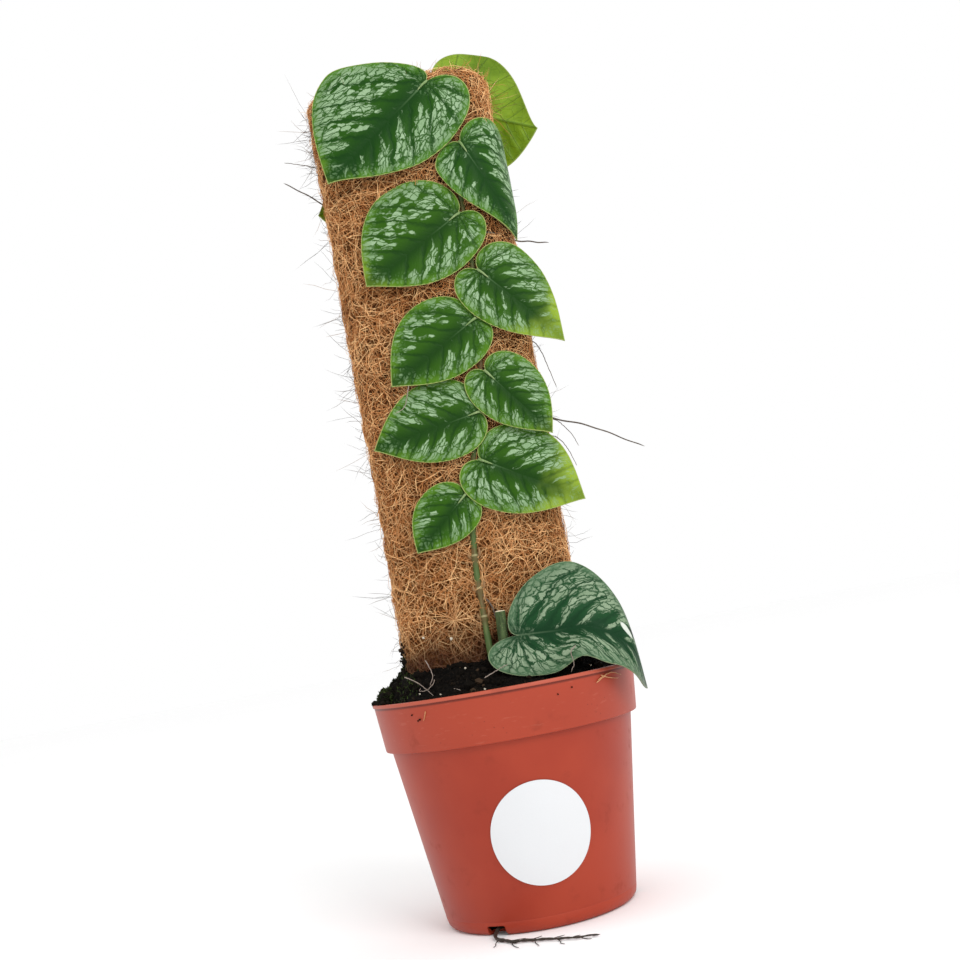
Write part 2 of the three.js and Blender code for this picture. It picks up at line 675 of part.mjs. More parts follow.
function oldShootParts(extra) {
  const seat = baseLeafPlace(0, BASE_STALK_SEAT * BASE_LEAF_LENGTH);
  const behind = BASE_BLADE_THICKNESS / 2 + 1.5 * GAP + BASE_STALK_RADIUS;
  const end = [seat.x, seat.y + behind, seat.z];
  const [startX, , startZ] = BASE_STALK_START;
  const half = [0.5 * (startX + end[0]), end[1] + 0.6, 0.5 * (startZ + end[2])];
  const stalk = [BASE_STALK_START, half, end];
  const foot = [STUB_FOOT[0], STUB_FOOT[1], STUB_FOOT[2] - extra];
  return [
    rod([foot, STUB_MIDDLE, STUB_TOP], STUB_RADIUS + extra, STUB_TOP_RADIUS + extra, 10, 6),
    rod(stalk, BASE_STALK_FOOT_RADIUS + extra, BASE_STALK_RADIUS + extra, 8, 4),
  ];
}

// A root that grew out of the foot notch and lies on the surface in front of the pot

const DRAIN_ROOT = [
  [-18, -33, 3.6], [-20.5, -38, 2.4], [-21, -44, 1.2], [-15, -52, 0.9], [-4, -57, 0.9],
  [8, -63, 0.9], [20, -66, 0.9],
];
const DRAIN_ROOT_RADIUS = 0.8;
const DRAIN_ROOT_TIP_RADIUS = 0.4;

// Materials

function finish(color, roughness) {
  return new THREE.MeshStandardMaterial({ color, roughness, metalness: 0 });
}

const PLASTIC = finish('#a8452b', 0.45);
const PAPER = finish('#f1f1f2', 0.6);
const COIR = finish('#98683f', 1);
const WOOD = finish('#c9a574', 0.8);
const SOIL = finish('#17130f', 1);
const STEM = finish('#7c8350', 0.6);
const LEAF = finish('#3f6b33', 0.4);
const BASE_LEAF = finish('#3e6a4b', 0.4);
const YOUNG_LEAF = finish('#85a327', 0.45);
const ROOT = finish('#4c443d', 0.85);

// Assembly

const plant = new THREE.Group();

function add(name, shape, material) {
  const mesh = new THREE.Mesh(shape, material);
  mesh.name = name;
  plant.add(mesh);
}

const frontVine = joined(vineParts(-1, FRONT_STEM, FRONT_LEAVES, FRONT_ROOTS, 0));
const backVine = joined(vineParts(1, BACK_STEM, BACK_LEAVES, BACK_ROOTS, 0));
const frontBed = joined(vineParts(-1, FRONT_STEM, FRONT_LEAVES, FRONT_ROOTS, GAP));
const backBed = joined(vineParts(1, BACK_STEM, BACK_LEAVES, BACK_ROOTS, GAP));
const oldShoot = joined(oldShootParts(0));
const drainRoot = rod(DRAIN_ROOT, DRAIN_ROOT_RADIUS, DRAIN_ROOT_TIP_RADIUS, 6, 18);
const drainRootBed = joined([
  rod(DRAIN_ROOT, DRAIN_ROOT_RADIUS + GAP, DRAIN_ROOT_TIP_RADIUS + GAP, 6, 18),
  ball(DRAIN_ROOT[0], DRAIN_ROOT_RADIUS + 2 * GAP),
]);
const soilHoles = [
  solid(boardHole()), solid(battenHole()), frontBed, backBed, joined(oldShootParts(GAP)), drainRootBed,
];

add('pot', potGeometry(), PLASTIC);
add('label', labelGeometry(), PAPER);
add('soil', soilGeometry(soilHoles), SOIL);
add('batten', battenGeometry(), WOOD);
add('coir_board', boardGeometry([frontBed, backBed]), COIR);
add('vine_stem_front', geometry(frontVine), STEM);
add('vine_stem_back', geometry(backVine), STEM);
add('old_shoot', geometry(oldShoot), STEM);
add('drain_root', drainRoot, ROOT);
FRONT_LEAVES.forEach((leaf) => add(leaf.name, leafGeometry(-1, leaf), LEAF));
BACK_LEAVES.forEach((leaf) => add(leaf.name, leafGeometry(1, leaf), YOUNG_LEAF));
add('base_leaf', baseLeafGeometry(), BASE_LEAF);

export default plant;
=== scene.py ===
import math

import bpy
import numpy as np
from mathutils import Matrix, Vector
from mathutils.bvhtree import BVHTree


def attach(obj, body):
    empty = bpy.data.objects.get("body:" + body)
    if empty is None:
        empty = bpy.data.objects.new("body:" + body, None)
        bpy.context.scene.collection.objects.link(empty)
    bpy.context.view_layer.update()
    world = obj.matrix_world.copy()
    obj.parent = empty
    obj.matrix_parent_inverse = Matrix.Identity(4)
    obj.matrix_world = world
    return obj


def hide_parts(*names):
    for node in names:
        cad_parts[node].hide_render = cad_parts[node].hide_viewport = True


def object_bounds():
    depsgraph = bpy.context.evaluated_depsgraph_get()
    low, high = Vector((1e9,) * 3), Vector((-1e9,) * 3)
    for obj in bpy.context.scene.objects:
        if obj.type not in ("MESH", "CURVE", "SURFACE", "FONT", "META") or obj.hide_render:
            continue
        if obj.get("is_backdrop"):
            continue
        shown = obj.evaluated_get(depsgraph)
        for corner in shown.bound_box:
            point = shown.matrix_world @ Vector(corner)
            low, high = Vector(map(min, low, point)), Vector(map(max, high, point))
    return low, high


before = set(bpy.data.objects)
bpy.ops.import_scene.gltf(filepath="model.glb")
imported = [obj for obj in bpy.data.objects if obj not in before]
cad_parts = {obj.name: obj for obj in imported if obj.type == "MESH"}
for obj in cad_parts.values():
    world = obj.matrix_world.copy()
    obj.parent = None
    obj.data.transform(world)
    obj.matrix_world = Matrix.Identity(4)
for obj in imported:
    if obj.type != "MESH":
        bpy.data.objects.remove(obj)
cad_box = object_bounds()


# Studio: the plant stands on a pale floor, in the even white light of a photo tent, with
# one broad soft box from the front right. The camera is low, looks slightly up, and is
# rolled so that the plant leans to the left.

MM = 0.001
EYE = Vector((0, -562.7, 123.8)) * MM
LOOK_AT = Vector((5.8, 0, 193.7)) * MM
LENS = 45.8
ROLL = math.radians(10.11)
LAMP_PLACE = Vector((0.75, -1.3, 1.1))
LAMP_AIM = Vector((0, 0, 0.2))
LAMP_SIZE = 0.8
LAMP_POWER = 13
FLOOR_SIZE = 14


def add(name, data):
    """A new object in the scene."""
    made = bpy.data.objects.new(name, data)
    bpy.context.scene.collection.objects.link(made)
    return made


bpy.context.scene.view_settings.view_transform = "Standard"
ahead = (LOOK_AT - EYE).normalized()
level = ahead.cross(Vector((0, 0, 1))).normalized()
upright = level.cross(ahead)
camera_x = math.cos(ROLL) * level - math.sin(ROLL) * upright
camera_y = math.sin(ROLL) * level + math.cos(ROLL) * upright
turn = Matrix((camera_x, camera_y, -ahead)).transposed().to_4x4()
camera = add("camera", bpy.data.cameras.new("camera"))
camera.data.lens = LENS
camera.data.clip_start = 0.02
camera.matrix_world = Matrix.Translation(EYE) @ turn
bpy.context.scene.camera = camera

lamp = add("key_light", bpy.data.lights.new("key_light", "AREA"))
lamp.data.size = LAMP_SIZE
lamp.data.energy = LAMP_POWER
lamp.location = LAMP_PLACE
lamp.rotation_euler = (LAMP_AIM - LAMP_PLACE).to_track_quat("-Z", "Y").to_euler()

tent = bpy.data.worlds.new("tent")
tent.use_nodes = True
tent_light = tent.node_tree.nodes["Background"]
tent_light.inputs["Color"].default_value = (1, 1, 1, 1)
tent_light.inputs["Strength"].default_value = 1.0
bpy.context.scene.world = tent


def linear(colour):
    """A colour as '#rrggbb', in the light values that shaders use."""
    parts = [int(colour[i:i + 2], 16) / 255 for i in (1, 3, 5)]
    return [c / 12.92 if c <= 0.04045 else ((c + 0.055) / 1.055) ** 2.4 for c in parts] + [1]


class Value:
    """A shader socket that can be used in sums; each sum adds its Math node."""

    def __init__(self, finish, socket):
        self.finish = finish
        self.socket = socket

    def math(self, operation, *others):
        values = dict(enumerate((self, *others)))
        return self.finish.node("Math", {"operation": operation}, values)

    def __add__(self, other):
        return self.math("ADD", other)

    def __sub__(self, other):
        return self.math("SUBTRACT", other)

    def __mul__(self, other):
        return self.math("MULTIPLY", other)

    def __truediv__(self, other):
        return self.math("DIVIDE", other)

    def __rsub__(self, other):
        return self.finish.node("Math", {"operation": "SUBTRACT"}, {0: other, 1: self})

    __radd__ = __add__
    __rmul__ = __mul__

    def __abs__(self):
        return self.math("ABSOLUTE")

    def step(self, low, high):
        """Rises smoothly from 0 at low to 1 at high."""
        settings = {"interpolation_type": "SMOOTHSTEP"}
        return self.finish.node("MapRange", settings, {0: self, 1: low, 2: high, 3: 0, 4: 1})


class Finish:
    """A procedural material, built round one Principled shader."""

    def __init__(self, name, **sockets):
        self.material = bpy.data.materials.new(name)
        self.material.use_nodes = True
        self.tree = self.material.node_tree
        self.shader = self.tree.nodes["Principled BSDF"]
        self.set(**sockets)

    def set(self, **sockets):
        for key, value in sockets.items():
            self.feed(self.shader.inputs[key.replace("_", " ")], value)

    def feed(self, socket, value):
        if isinstance(value, Value):
            self.tree.links.new(value.socket, socket)
        elif isinstance(value, str):
            socket.default_value = linear(value)
        else:
            socket.default_value = value

    def node(self, kind, settings=None, sockets=None, out=0):
        """A node of a type: its settings are made first, then its sockets' values or links."""
        made = self.tree.nodes.new("ShaderNode" + kind)
        for key, value in (settings or {}).items():
            setattr(made, key, value)
        for key, value in (sockets or {}).items():
            self.feed(made.inputs[key], value)
        return Value(self, made.outputs[out])

    def place(self, scale=(1000, 1000, 1000), turn=(0, 0, 0), shift=(0, 0, 0)):
        """Where a point lies on the object, in millimetres unless the scale says otherwise."""
        point = self.node("TexCoord", out="Object")
        sockets = {"Vector": point, "Location": shift, "Rotation": turn, "Scale": scale}
        return self.node("Mapping", {"vector_type": "POINT"}, sockets)

    def axis(self, where, name):
        return self.node("SeparateXYZ", None, {0: where}, name)

    def tone(self):
        """The shade from 0 to 1 that a piece's copies each have of their own."""
        return self.node("Attribute", {"attribute_name": "tone"}, out="Fac")

    def noise(self, where, scale, detail=2, roughness=0.5, distortion=0):
        sockets = {"Vector": where, "Scale": scale, "Detail": detail, "Roughness": roughness,
                   "Distortion": distortion}
        return self.node("TexNoise", None, sockets)

    def cells(self, where, scale, feature="F1", out="Distance"):
        return self.node("TexVoronoi", {"feature": feature}, {"Vector": where, "Scale": scale}, out)

    def mix(self, share, first, second):
        return self.node("Mix", {"data_type": "RGBA"}, {0: share, 6: first, 7: second}, out=2)

    def coats(self, colour, *over):
        """A colour under coats, each of which is a share and a colour."""
        for share, coat in over:
            colour = self.mix(share, colour, coat)
        return colour

    def bump(self, height, strength, distance):
        sockets = {"Height": height, "Strength": strength, "Distance": distance * MM}
        return self.node("Bump", None, sockets)


def primitive(operator, name, **settings):
    """A new object from one of Blender's basic shapes."""
    operator(**settings)
    made = bpy.context.object
    made.name = name
    return made


floor = primitive(bpy.ops.mesh.primitive_plane_add, "floor", size=FLOOR_SIZE)
floor_paint = Finish("floor_paint", Roughness=0.9, Specular_IOR_Level=0.1)
floor_tone = floor_paint.noise(floor_paint.place((1, 1, 1)), 3)
floor_paint.set(Base_Color=floor_paint.mix(floor_tone, "#ffffff", "#fdfdfd"))
floor.data.materials.append(floor_paint.material)
floor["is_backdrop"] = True


# Pot: one injection-moulded piece of terracotta-coloured plastic, slightly conical, with a
# stepped collar, a thin lip and three notches cut through its foot.

POT_SIDES = 128
COLLAR_FOOT = 79.4
LIP_FOOT = 99.4
POT_PROFILE = [
    (0.01, 0), (38, 0), (39.2, 0), (40.95, 0.47), (42.23, 1.75), (42.7, 3.5), (42.95, 5.2),
    (42.85, 5.7), (43.1, 6.2), (54.3, 77.7), (54.6, 79.2), (54.8, 79.4), (56.6, 79.4),
    (57.05, 79.55), (57.2, 80), (59.3, 98.8), (59.4, 99.4), (59.85, 99.45), (60, 99.7),
    (60, 100.6), (59.9, 100.88), (59.6, 101), (58.3, 101), (58, 100.8), (55.8, 80.8),
    (53.2, 80.8), (41.3, 3.6), (39.3, 1.6), (0.01, 1.6),
]
NOTCH_SIZE = (8.5, 11, 8.6)
NOTCH_RADIUS = 39.7
NOTCH_ROUNDING = 0.08
NOTCH_ANGLES = (-29, 91, 211)


def turned(name, profile, sides):
    """A round solid: a disc whose rim is extruded from point to point of a profile, in mm."""
    radius, height = profile[0]
    solid = primitive(
        bpy.ops.mesh.primitive_circle_add, name, vertices=sides, radius=radius * MM,
        fill_type="NGON", location=(0, 0, height * MM))
    bpy.ops.object.transform_apply(location=True, rotation=True, scale=True)
    bpy.ops.object.mode_set(mode="EDIT")
    bpy.ops.mesh.select_all(action="SELECT")
    bpy.ops.mesh.region_to_loop()
    for next_radius, next_height in profile[1:]:
        rise = (0, 0, (next_height - height) * MM)
        grow = next_radius / radius
        bpy.ops.mesh.extrude_region_move(TRANSFORM_OT_translate={"value": rise})
        bpy.ops.transform.resize(value=(grow, grow, 1), center_override=(0, 0, next_height * MM))
        radius, height = next_radius, next_height
    bpy.ops.mesh.merge(type="CENTER")
    bpy.ops.mesh.select_all(action="SELECT")
    bpy.ops.mesh.normals_make_consistent(inside=False)
    bpy.ops.object.mode_set(mode="OBJECT")
    return solid


def pick(piece):
    bpy.ops.object.select_all(action="DESELECT")
    piece.select_set(True)
    bpy.context.view_layer.objects.active = piece


def edit(operator, **settings):
    """Runs an edit mode operator on the whole mesh of the active piece."""
    bpy.ops.object.mode_set(mode="EDIT")
    bpy.ops.mesh.select_all(action="SELECT")
    operator(**settings)
    bpy.ops.object.mode_set(mode="OBJECT")


def apply_modifiers(piece):
    pick(piece)
    for modifier in list(piece.modifiers):
        bpy.ops.object.modifier_apply(modifier=modifier.name)


def smooth(piece, angle=60):
    pick(piece)
    bpy.ops.object.shade_smooth_by_angle(angle=math.radians(angle))


def keep(piece, finish, slot, *nodes):
    """A finished piece gets its material, stands on the one body and replaces its CAD nodes."""
    piece.data.materials.clear()
    piece.data.materials.append(finish.material)
    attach(piece, "root")
    if nodes:
        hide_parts(*nodes)


pot = turned("nursery_pot", POT_PROFILE, POT_SIDES)
for angle in NOTCH_ANGLES:
    cutter = primitive(bpy.ops.mesh.primitive_cube_add, "cutter", size=1)
    edit(bpy.ops.mesh.bevel, offset=NOTCH_ROUNDING, segments=2, affect="EDGES")
    turn = Matrix.Rotation(math.radians(angle), 4, "Z")
    shift = Matrix.Translation((0, -NOTCH_RADIUS * MM, 0))
    size = Matrix.Diagonal((*[side * MM for side in NOTCH_SIZE], 1))
    cutter.matrix_world = turn @ shift @ size
    cut = pot.modifiers.new("notch", "BOOLEAN")
    cut.object = cutter
    cut.solver = "EXACT"
    apply_modifiers(pot)
    bpy.data.objects.remove(cutter)
smooth(pot, 30)

pot_plastic = Finish("pot_plastic", Specular_IOR_Level=0.3)
at = pot_plastic.place()
height = pot_plastic.axis(at, "Z")
cloud = pot_plastic.noise(at, 0.02, 3)
grime = pot_plastic.noise(pot_plastic.place(shift=(40, 0, 9)), 0.09, 5, 0.65).step(0.56, 0.78)
specked = pot_plastic.noise(at, 0.05, 1).step(0.52, 0.6)
speck = pot_plastic.cells(at, 0.42).step(0.13, 0.07) * specked
scuff = pot_plastic.noise(pot_plastic.place((300, 300, 1500)), 0.5, 3).step(0.62, 0.74)
on_collar = height.step(COLLAR_FOOT - 0.4, COLLAR_FOOT + 0.6)
# Painted highlight: the lip is painted paler, as the light catches it.
lip = height.step(LIP_FOOT, LIP_FOOT + 0.3)
# Painted shade: a dark band just under the lip, where the lip overhangs the wall.
below_lip = height.step(LIP_FOOT - 1.2, LIP_FOOT - 0.5)
shade_under_lip = below_lip * height.step(LIP_FOOT + 0.3, LIP_FOOT - 0.1)
grain = pot_plastic.noise(at, 1.4, 2)
pot_plastic.set(
    Base_Color=pot_plastic.coats(
        "#96301a",
        (cloud.step(0.35, 0.65), "#a03820"),
        (on_collar * 0.5, "#a43f28"),
        # painted highlight along the lip
        (lip * 0.45, "#bd6550"),
        # painted shade under the lip
        (shade_under_lip * 0.75, "#55190c"),
        (grime * 0.34, "#6b2413"),
        (scuff * on_collar * 0.1, "#d08770"),
        (speck * (on_collar * 0.5 + 0.12), "#4a1d12"),
    ),
    Roughness=cloud * 0.12 + grime * 0.15 + 0.36,
    Normal=pot_plastic.bump(grain, 0.06, 0.3),
)
keep(pot, pot_plastic, "pot_plastic", "pot")


# Label: a round disc of white coated paper, stuck on the cone of the pot right of its
# middle. It is bare, and a little air lifts it at one side.

LABEL_RADIUS = 21.5
LABEL_SIDES = 96
LABEL_RINGS = 9
RING_WIDTH = 2.2
LABEL_HEIGHT = 40
LABEL_ANGLE = math.radians(6)
LABEL_LIFT = 0.28
LABEL_RIPPLE = 0.12
LABEL_PAPER = 0.22
WALL_FOOT = (42.7, 3.5)
WALL_TOP = (54.6, COLLAR_FOOT)
WALL_LEAN = (WALL_TOP[0] - WALL_FOOT[0]) / (WALL_TOP[1] - WALL_FOOT[1])


def vertices(piece):
    points = np.empty(len(piece.data.vertices) * 3)
    piece.data.vertices.foreach_get("co", points)
    return points.reshape(-1, 3)


def reshape(piece, points):
    piece.data.vertices.foreach_set("co", np.asarray(points, dtype=float).ravel())
    piece.data.update()


label = primitive(
    bpy.ops.mesh.primitive_circle_add, "round_label", vertices=LABEL_SIDES, radius=LABEL_RADIUS,
    fill_type="NGON")
bpy.ops.object.mode_set(mode="EDIT")
bpy.ops.mesh.select_all(action="SELECT")
for _ in range(LABEL_RINGS):
    bpy.ops.mesh.inset(thickness=RING_WIDTH)
bpy.ops.object.mode_set(mode="OBJECT")
flat = vertices(label)
height = LABEL_HEIGHT + flat[:, 1]
radius = WALL_FOOT[0] + WALL_LEAN * (height - WALL_FOOT[1]) + LABEL_LIFT
angle = LABEL_ANGLE + flat[:, 0] / radius
radius = radius + LABEL_RIPPLE * np.sin(0.24 * flat[:, 0] + 1) * np.sin(0.17 * flat[:, 1])
reshape(label, np.stack([radius * np.sin(angle), -radius * np.cos(angle), height], 1) * MM)
paper = label.modifiers.new("paper", "SOLIDIFY")
paper.thickness = LABEL_PAPER * MM
paper.offset = 1
apply_modifiers(label)
smooth(label, 40)

label_paper = Finish("label_paper", Roughness=0.5, Specular_IOR_Level=0.3)
fibre = label_paper.noise(label_paper.place(), 3, 3)
label_paper.set(
    Base_Color=label_paper.mix(fibre, "#d9dbdd", "#d3d5d7"),
    Normal=label_paper.bump(fibre, 0.04, 0.2),
)
keep(label, label_paper, "label_paper", "label")


# Soil: dark, crumbly potting compost that fills the pot and is heaped against the board. It
# is pressed in by hand, with a clod at the left of the rim, and crumbs lie all over it, up
# the board's foot, on the rim and on the collar.

BOARD_CENTRE = -1.2
BESIDE_BOARD = (41.5, 22.5)
RIM_TOP = 101
SOIL_TOP = 96
SOIL_EDGE = 55.8
SOIL_REACH = 55.5
CRUMB_SIZES = ((0.35, 620), (0.7, 460), (1.3, 130), (2.1, 30))
CLOD = np.array([-51.5, -13.5, 101.5])
CLOD_HALF = np.array([4.6, 8.5, 5.6])
CLOD_CRUMBS = 420
BOARD_CRUMBS = 190
BOARD_CRUMB_HEIGHTS = (104, 106, 134)
RIM_CRUMBS = 90
RIM_BAND = (56, 59.8)
RIM_ARC = (180, 207)
COLLAR_CRUMBS = [
    (-40, -43.7, 95.6), (-37.8, -45.2, 92.9), (-36.9, -46.2, 93.4), (27.6, -52.5, 95.9),
    (21.3, -55.2, 94.2),
]
COLLAR_CRUMB = 0.45


def cast(node, name):
    """A copy of a CAD node as one joined mesh, to be given a finer surface."""
    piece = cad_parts[node].copy()
    piece.data = piece.data.copy()
    piece.name = name
    piece.parent = None
    for key in list(piece.keys()):
        del piece[key]
    bpy.context.scene.collection.objects.link(piece)
    pick(piece)
    edit(bpy.ops.mesh.remove_doubles, threshold=0.00001)
    return piece


def remeshed(piece, voxel):
    remesh = piece.modifiers.new("grain", "REMESH")
    remesh.mode = "VOXEL"
    remesh.voxel_size = voxel * MM
    apply_modifiers(piece)


def roughened(piece, size, strength, depth=2, group=""):
    """Lumps of a size, raised by a strength in mm, where the vertex group says so."""
    clouds = bpy.data.textures.new("lumps", "CLOUDS")
    clouds.noise_scale = size * MM
    clouds.noise_depth = depth
    lumps = piece.modifiers.new("lumps", "DISPLACE")
    lumps.texture = clouds
    lumps.texture_coords = "LOCAL"
    lumps.strength = strength * MM
    lumps.mid_level = 0.5
    lumps.vertex_group = group
    apply_modifiers(piece)


def copies(name, pattern, placed):
    """One piece of many copies of a modelled shape; placed holds each copy's points, in mm."""
    count, size = placed.shape[:2]
    corners = []
    for face in pattern.data.polygons:
        first, *others = face.vertices
        corners += [(first, a, b) for a, b in zip(others, others[1:])]
    faces = (np.arange(count)[:, None, None] * size + np.array(corners)).reshape(-1, 3)
    mesh = bpy.data.meshes.new(name)
    mesh.from_pydata((placed.reshape(-1, 3) * MM).tolist(), [], faces.tolist())
    return add(name, mesh)


def tones(piece, values):
    """Keeps a shade from 0 to 1 for each copy, which its finish reads."""
    shades = np.repeat(values, len(piece.data.vertices) // len(values)).astype(np.float32)
    piece.data.attributes.new("tone", "FLOAT", "POINT").data.foreach_set("value", shades)


def unit(vectors):
    return vectors / np.linalg.norm(vectors, axis=-1, keepdims=True)


def turns(rng, count):
    """Random turns in space, as one 3 by 3 matrix each."""
    w, x, y, z = unit(rng.normal(size=(count, 4))).T
    return np.stack([
        np.stack([1 - 2 * (y * y + z * z), 2 * (x * y - z * w), 2 * (x * z + y * w)], 1),
        np.stack([2 * (x * y + z * w), 1 - 2 * (x * x + z * z), 2 * (y * z - x * w)], 1),
        np.stack([2 * (x * z - y * w), 2 * (y * z + x * w), 1 - 2 * (x * x + y * y)], 1),
    ], 1)


soil = cast("soil", "potting_soil")
remeshed(soil, 1.6)
points = vertices(soil)
inside = np.hypot(points[:, 0], points[:, 1]) < SOIL_EDGE * MM
on_top = np.flatnonzero((points[:, 2] > SOIL_TOP * MM) & inside)
soil.vertex_groups.new(name="crust").add(on_top.tolist(), 1.0, "REPLACE")
roughened(soil, 4.5, 3.4, 3, "crust")
roughened(soil, 1.6, 1.5, 1, "crust")
smooth(soil)

compost = Finish("compost", Roughness=0.95, Specular_IOR_Level=0.08)
at = compost.place()
lump = compost.noise(at, 0.7, 4, 0.7)
fleck = compost.cells(at, 0.9).step(0.22, 0.1) * compost.noise(at, 0.3).step(0.5, 0.62)
mossy = compost.noise(compost.place(shift=(7, 0, 0)), 0.12, 3).step(0.55, 0.7)
at_left = compost.axis(at, "X").step(-34, -50)
compost.set(
    Base_Color=compost.coats(
        "#050403",
        (lump.step(0.42, 0.75), "#1b1611"),
        (mossy * at_left * 0.6, "#2b3216"),
        (fleck * 0.35, "#6b5f50"),
    ),
    Normal=compost.bump(lump, 0.9, 1.2),
)
keep(soil, compost, "soil", "soil")

ground = BVHTree.FromObject(soil, bpy.context.evaluated_depsgraph_get())


def on_ground(x, y):
    """The height in mm of what lies under a point, looking down on the soil."""
    hit = ground.ray_cast(Vector((x, y, 200)) * MM, Vector((0, 0, -1)))[0]
    return hit.z / MM if hit else 0


rng = np.random.default_rng(3)
crumb = primitive(bpy.ops.mesh.primitive_ico_sphere_add, "crumb", subdivisions=1, radius=1)
edit(bpy.ops.transform.vertex_random, offset=0.28, seed=4)
centres = []
radii = []
for radius, count in CRUMB_SIZES:
    while count:
        x, y = rng.uniform(-SOIL_REACH, SOIL_REACH, 2)
        beside = abs(x - BOARD_CENTRE) > BESIDE_BOARD[0] or abs(y) > BESIDE_BOARD[1]
        if beside and math.hypot(x, y) < SOIL_REACH - radius:
            height = on_ground(x, y)
            if height > SOIL_TOP - 4:
                centres.append((x, y, height + 0.35 * radius))
                radii.append(radius * rng.uniform(0.6, 1.3))
                count -= 1
for _ in range(CLOD_CRUMBS):
    out = turns(rng, 1)[0][0]
    centres.append(CLOD + CLOD_HALF * out * rng.uniform(0.3, 1) ** 0.5)
    radii.append(rng.uniform(0.6, 1.7))
for _ in range(BOARD_CRUMBS):
    side = rng.choice((-1, 1), p=(0.75, 0.25))
    height = rng.triangular(*BOARD_CRUMB_HEIGHTS)
    x = BOARD_CENTRE + side * rng.uniform(39.4, 41.8)
    centres.append((x, rng.uniform(-18, 12), height))
    radii.append(rng.uniform(0.4, 1.6))
for _ in range(RIM_CRUMBS):
    angle = math.radians(rng.uniform(*RIM_ARC))
    far = rng.uniform(*RIM_BAND)
    radius = rng.uniform(0.4, 1.2)
    height = RIM_TOP + rng.uniform(0.3, 1) * radius
    centres.append((far * math.cos(angle), far * math.sin(angle), height))
    radii.append(radius)
centres += COLLAR_CRUMBS
radii += [COLLAR_CRUMB] * len(COLLAR_CRUMBS)


def lumps(name, centres, radii, stretch):
    """Copies of the crumb, each stretched and turned its own way."""
    sizes = rng.uniform(*stretch, (len(radii), 1, 3)) * np.array(radii)[:, None, None]
    turned_crumbs = np.einsum("nij,nvj->nvi", turns(rng, len(radii)), vertices(crumb) * sizes)
    return copies(name, crumb, turned_crumbs + np.array(centres)[:, None])


crumbs = lumps("soil_crumbs", centres, radii, (0.7, 1.2))
tones(crumbs, rng.random(len(radii)))

crumb_earth = Finish("crumb_earth", Roughness=0.95, Specular_IOR_Level=0.08)
tone = crumb_earth.tone()
spots = crumb_earth.noise(crumb_earth.place(), 2.2, 3)
crumb_earth.set(
    Base_Color=crumb_earth.coats(
        "#050403",
        (tone, "#1b150f"),
        (spots * 0.5, "#181510"),
        (tone.step(0.93, 0.98) * 0.6, "#4d3c2d"),
    ),
    Normal=crumb_earth.bump(spots, 0.7, 0.4),
)
keep(crumbs, crumb_earth, "soil")


# Moss: a living green cushion on the clod at the left of the rim, and thinner moss up the
# board's left foot and on the soil beside it. Each leaflet is a small three-sided spike.

CUSHION_LEAFLETS = 1500
BOARD_LEAFLETS = 260
BOARD_LEAFLET_HEIGHTS = (103, 104, 122)
SOIL_LEAFLETS = 420
SOIL_LEAFLET_CORNERS = ((-52, -34), (-36, 20))

leaflet = primitive(
    bpy.ops.mesh.primitive_cone_add, "leaflet", vertices=3, radius1=0.3, depth=1)
edit(bpy.ops.transform.translate, value=(0, 0, 0.5))
out = unit(rng.normal(size=(CUSHION_LEAFLETS, 3)))
on_clod = CLOD + out * CLOD_HALF * rng.uniform(0.85, 1.05, (CUSHION_LEAFLETS, 1))
by_board = np.stack([
    BOARD_CENTRE - rng.uniform(39.6, 41.6, BOARD_LEAFLETS),
    rng.uniform(-16, 10, BOARD_LEAFLETS),
    rng.triangular(*BOARD_LEAFLET_HEIGHTS, BOARD_LEAFLETS),
], 1)
spots = rng.uniform(*SOIL_LEAFLET_CORNERS, (SOIL_LEAFLETS, 2))
on_soil = np.array([(x, y, on_ground(x, y)) for x, y in spots if math.hypot(x, y) < SOIL_REACH])
feet = np.concatenate([on_clod, by_board, on_soil])
from_board = np.tile((-0.8, 0, 0.6), (len(by_board), 1))
from_soil = np.tile((0, 0, 1.0), (len(on_soil), 1))
out = np.concatenate([out, from_board, from_soil])
out = unit(out + rng.normal(0, 0.45, out.shape))
side = unit(np.cross(out, rng.normal(size=out.shape)))
sizes = rng.uniform(0.6, 1.5, (len(feet), 1, 1))
frames = np.stack([side, np.cross(out, side), out], 2) * sizes
spikes = np.einsum("nij,vj->nvi", frames, vertices(leaflet))
moss = copies("moss_leaflets", leaflet, spikes + feet[:, None])
bpy.data.objects.remove(leaflet)
tones(moss, rng.random(len(feet)))

moss_green = Finish("moss_green", Roughness=0.8, Specular_IOR_Level=0.15)
tuft = moss_green.noise(moss_green.place(), 0.35, 2)
moss_green.set(Base_Color=moss_green.coats(
    "#10160a",
    (moss_green.tone(), "#37451b"),
    (tuft.step(0.45, 0.7) * 0.5, "#0d0f08"),
))
keep(moss, moss_green, "soil")


# Perlite: white puffed grains in the compost. They lie loose at the foot of the board, and
# a few have stuck to the coir.

GRAINS = (
    # x, y, height or 0 for on the ground, radius
    (-31, -24.4, 126.5, 0.75), (-19, -24.3, 124, 0.8), (3.5, -24.3, 123, 0.7),
    (-36, -33, 0, 0.5), (-27, -39, 0, 0.5), (-8, -47, 0, 0.6), (-15, -30, 0, 0.6),
    (38, -38, 0, 0.6), (24, 33, 0, 1.1), (-12, 36, 0, 0.9), (-33, 33, 0, 0.8),
    (47, 12, 0, 0.8), (12, 45, 0, 0.7),
)

centres = [(x, y, z or on_ground(x, y) + 0.4 * radius) for x, y, z, radius in GRAINS]
grains = lumps("perlite_grains", centres, [grain[3] for grain in GRAINS], (0.7, 1.15))
bpy.data.objects.remove(crumb)
smooth(grains, 50)

perlite = Finish("perlite", Roughness=0.9, Specular_IOR_Level=0.2)
pits = perlite.noise(perlite.place(), 2.5, 3)
perlite.set(
    Base_Color=perlite.mix(pits, "#d9d2c2", "#b9ab93"),
    Normal=perlite.bump(pits, 0.6, 0.3),
)
keep(grains, perlite, "soil")


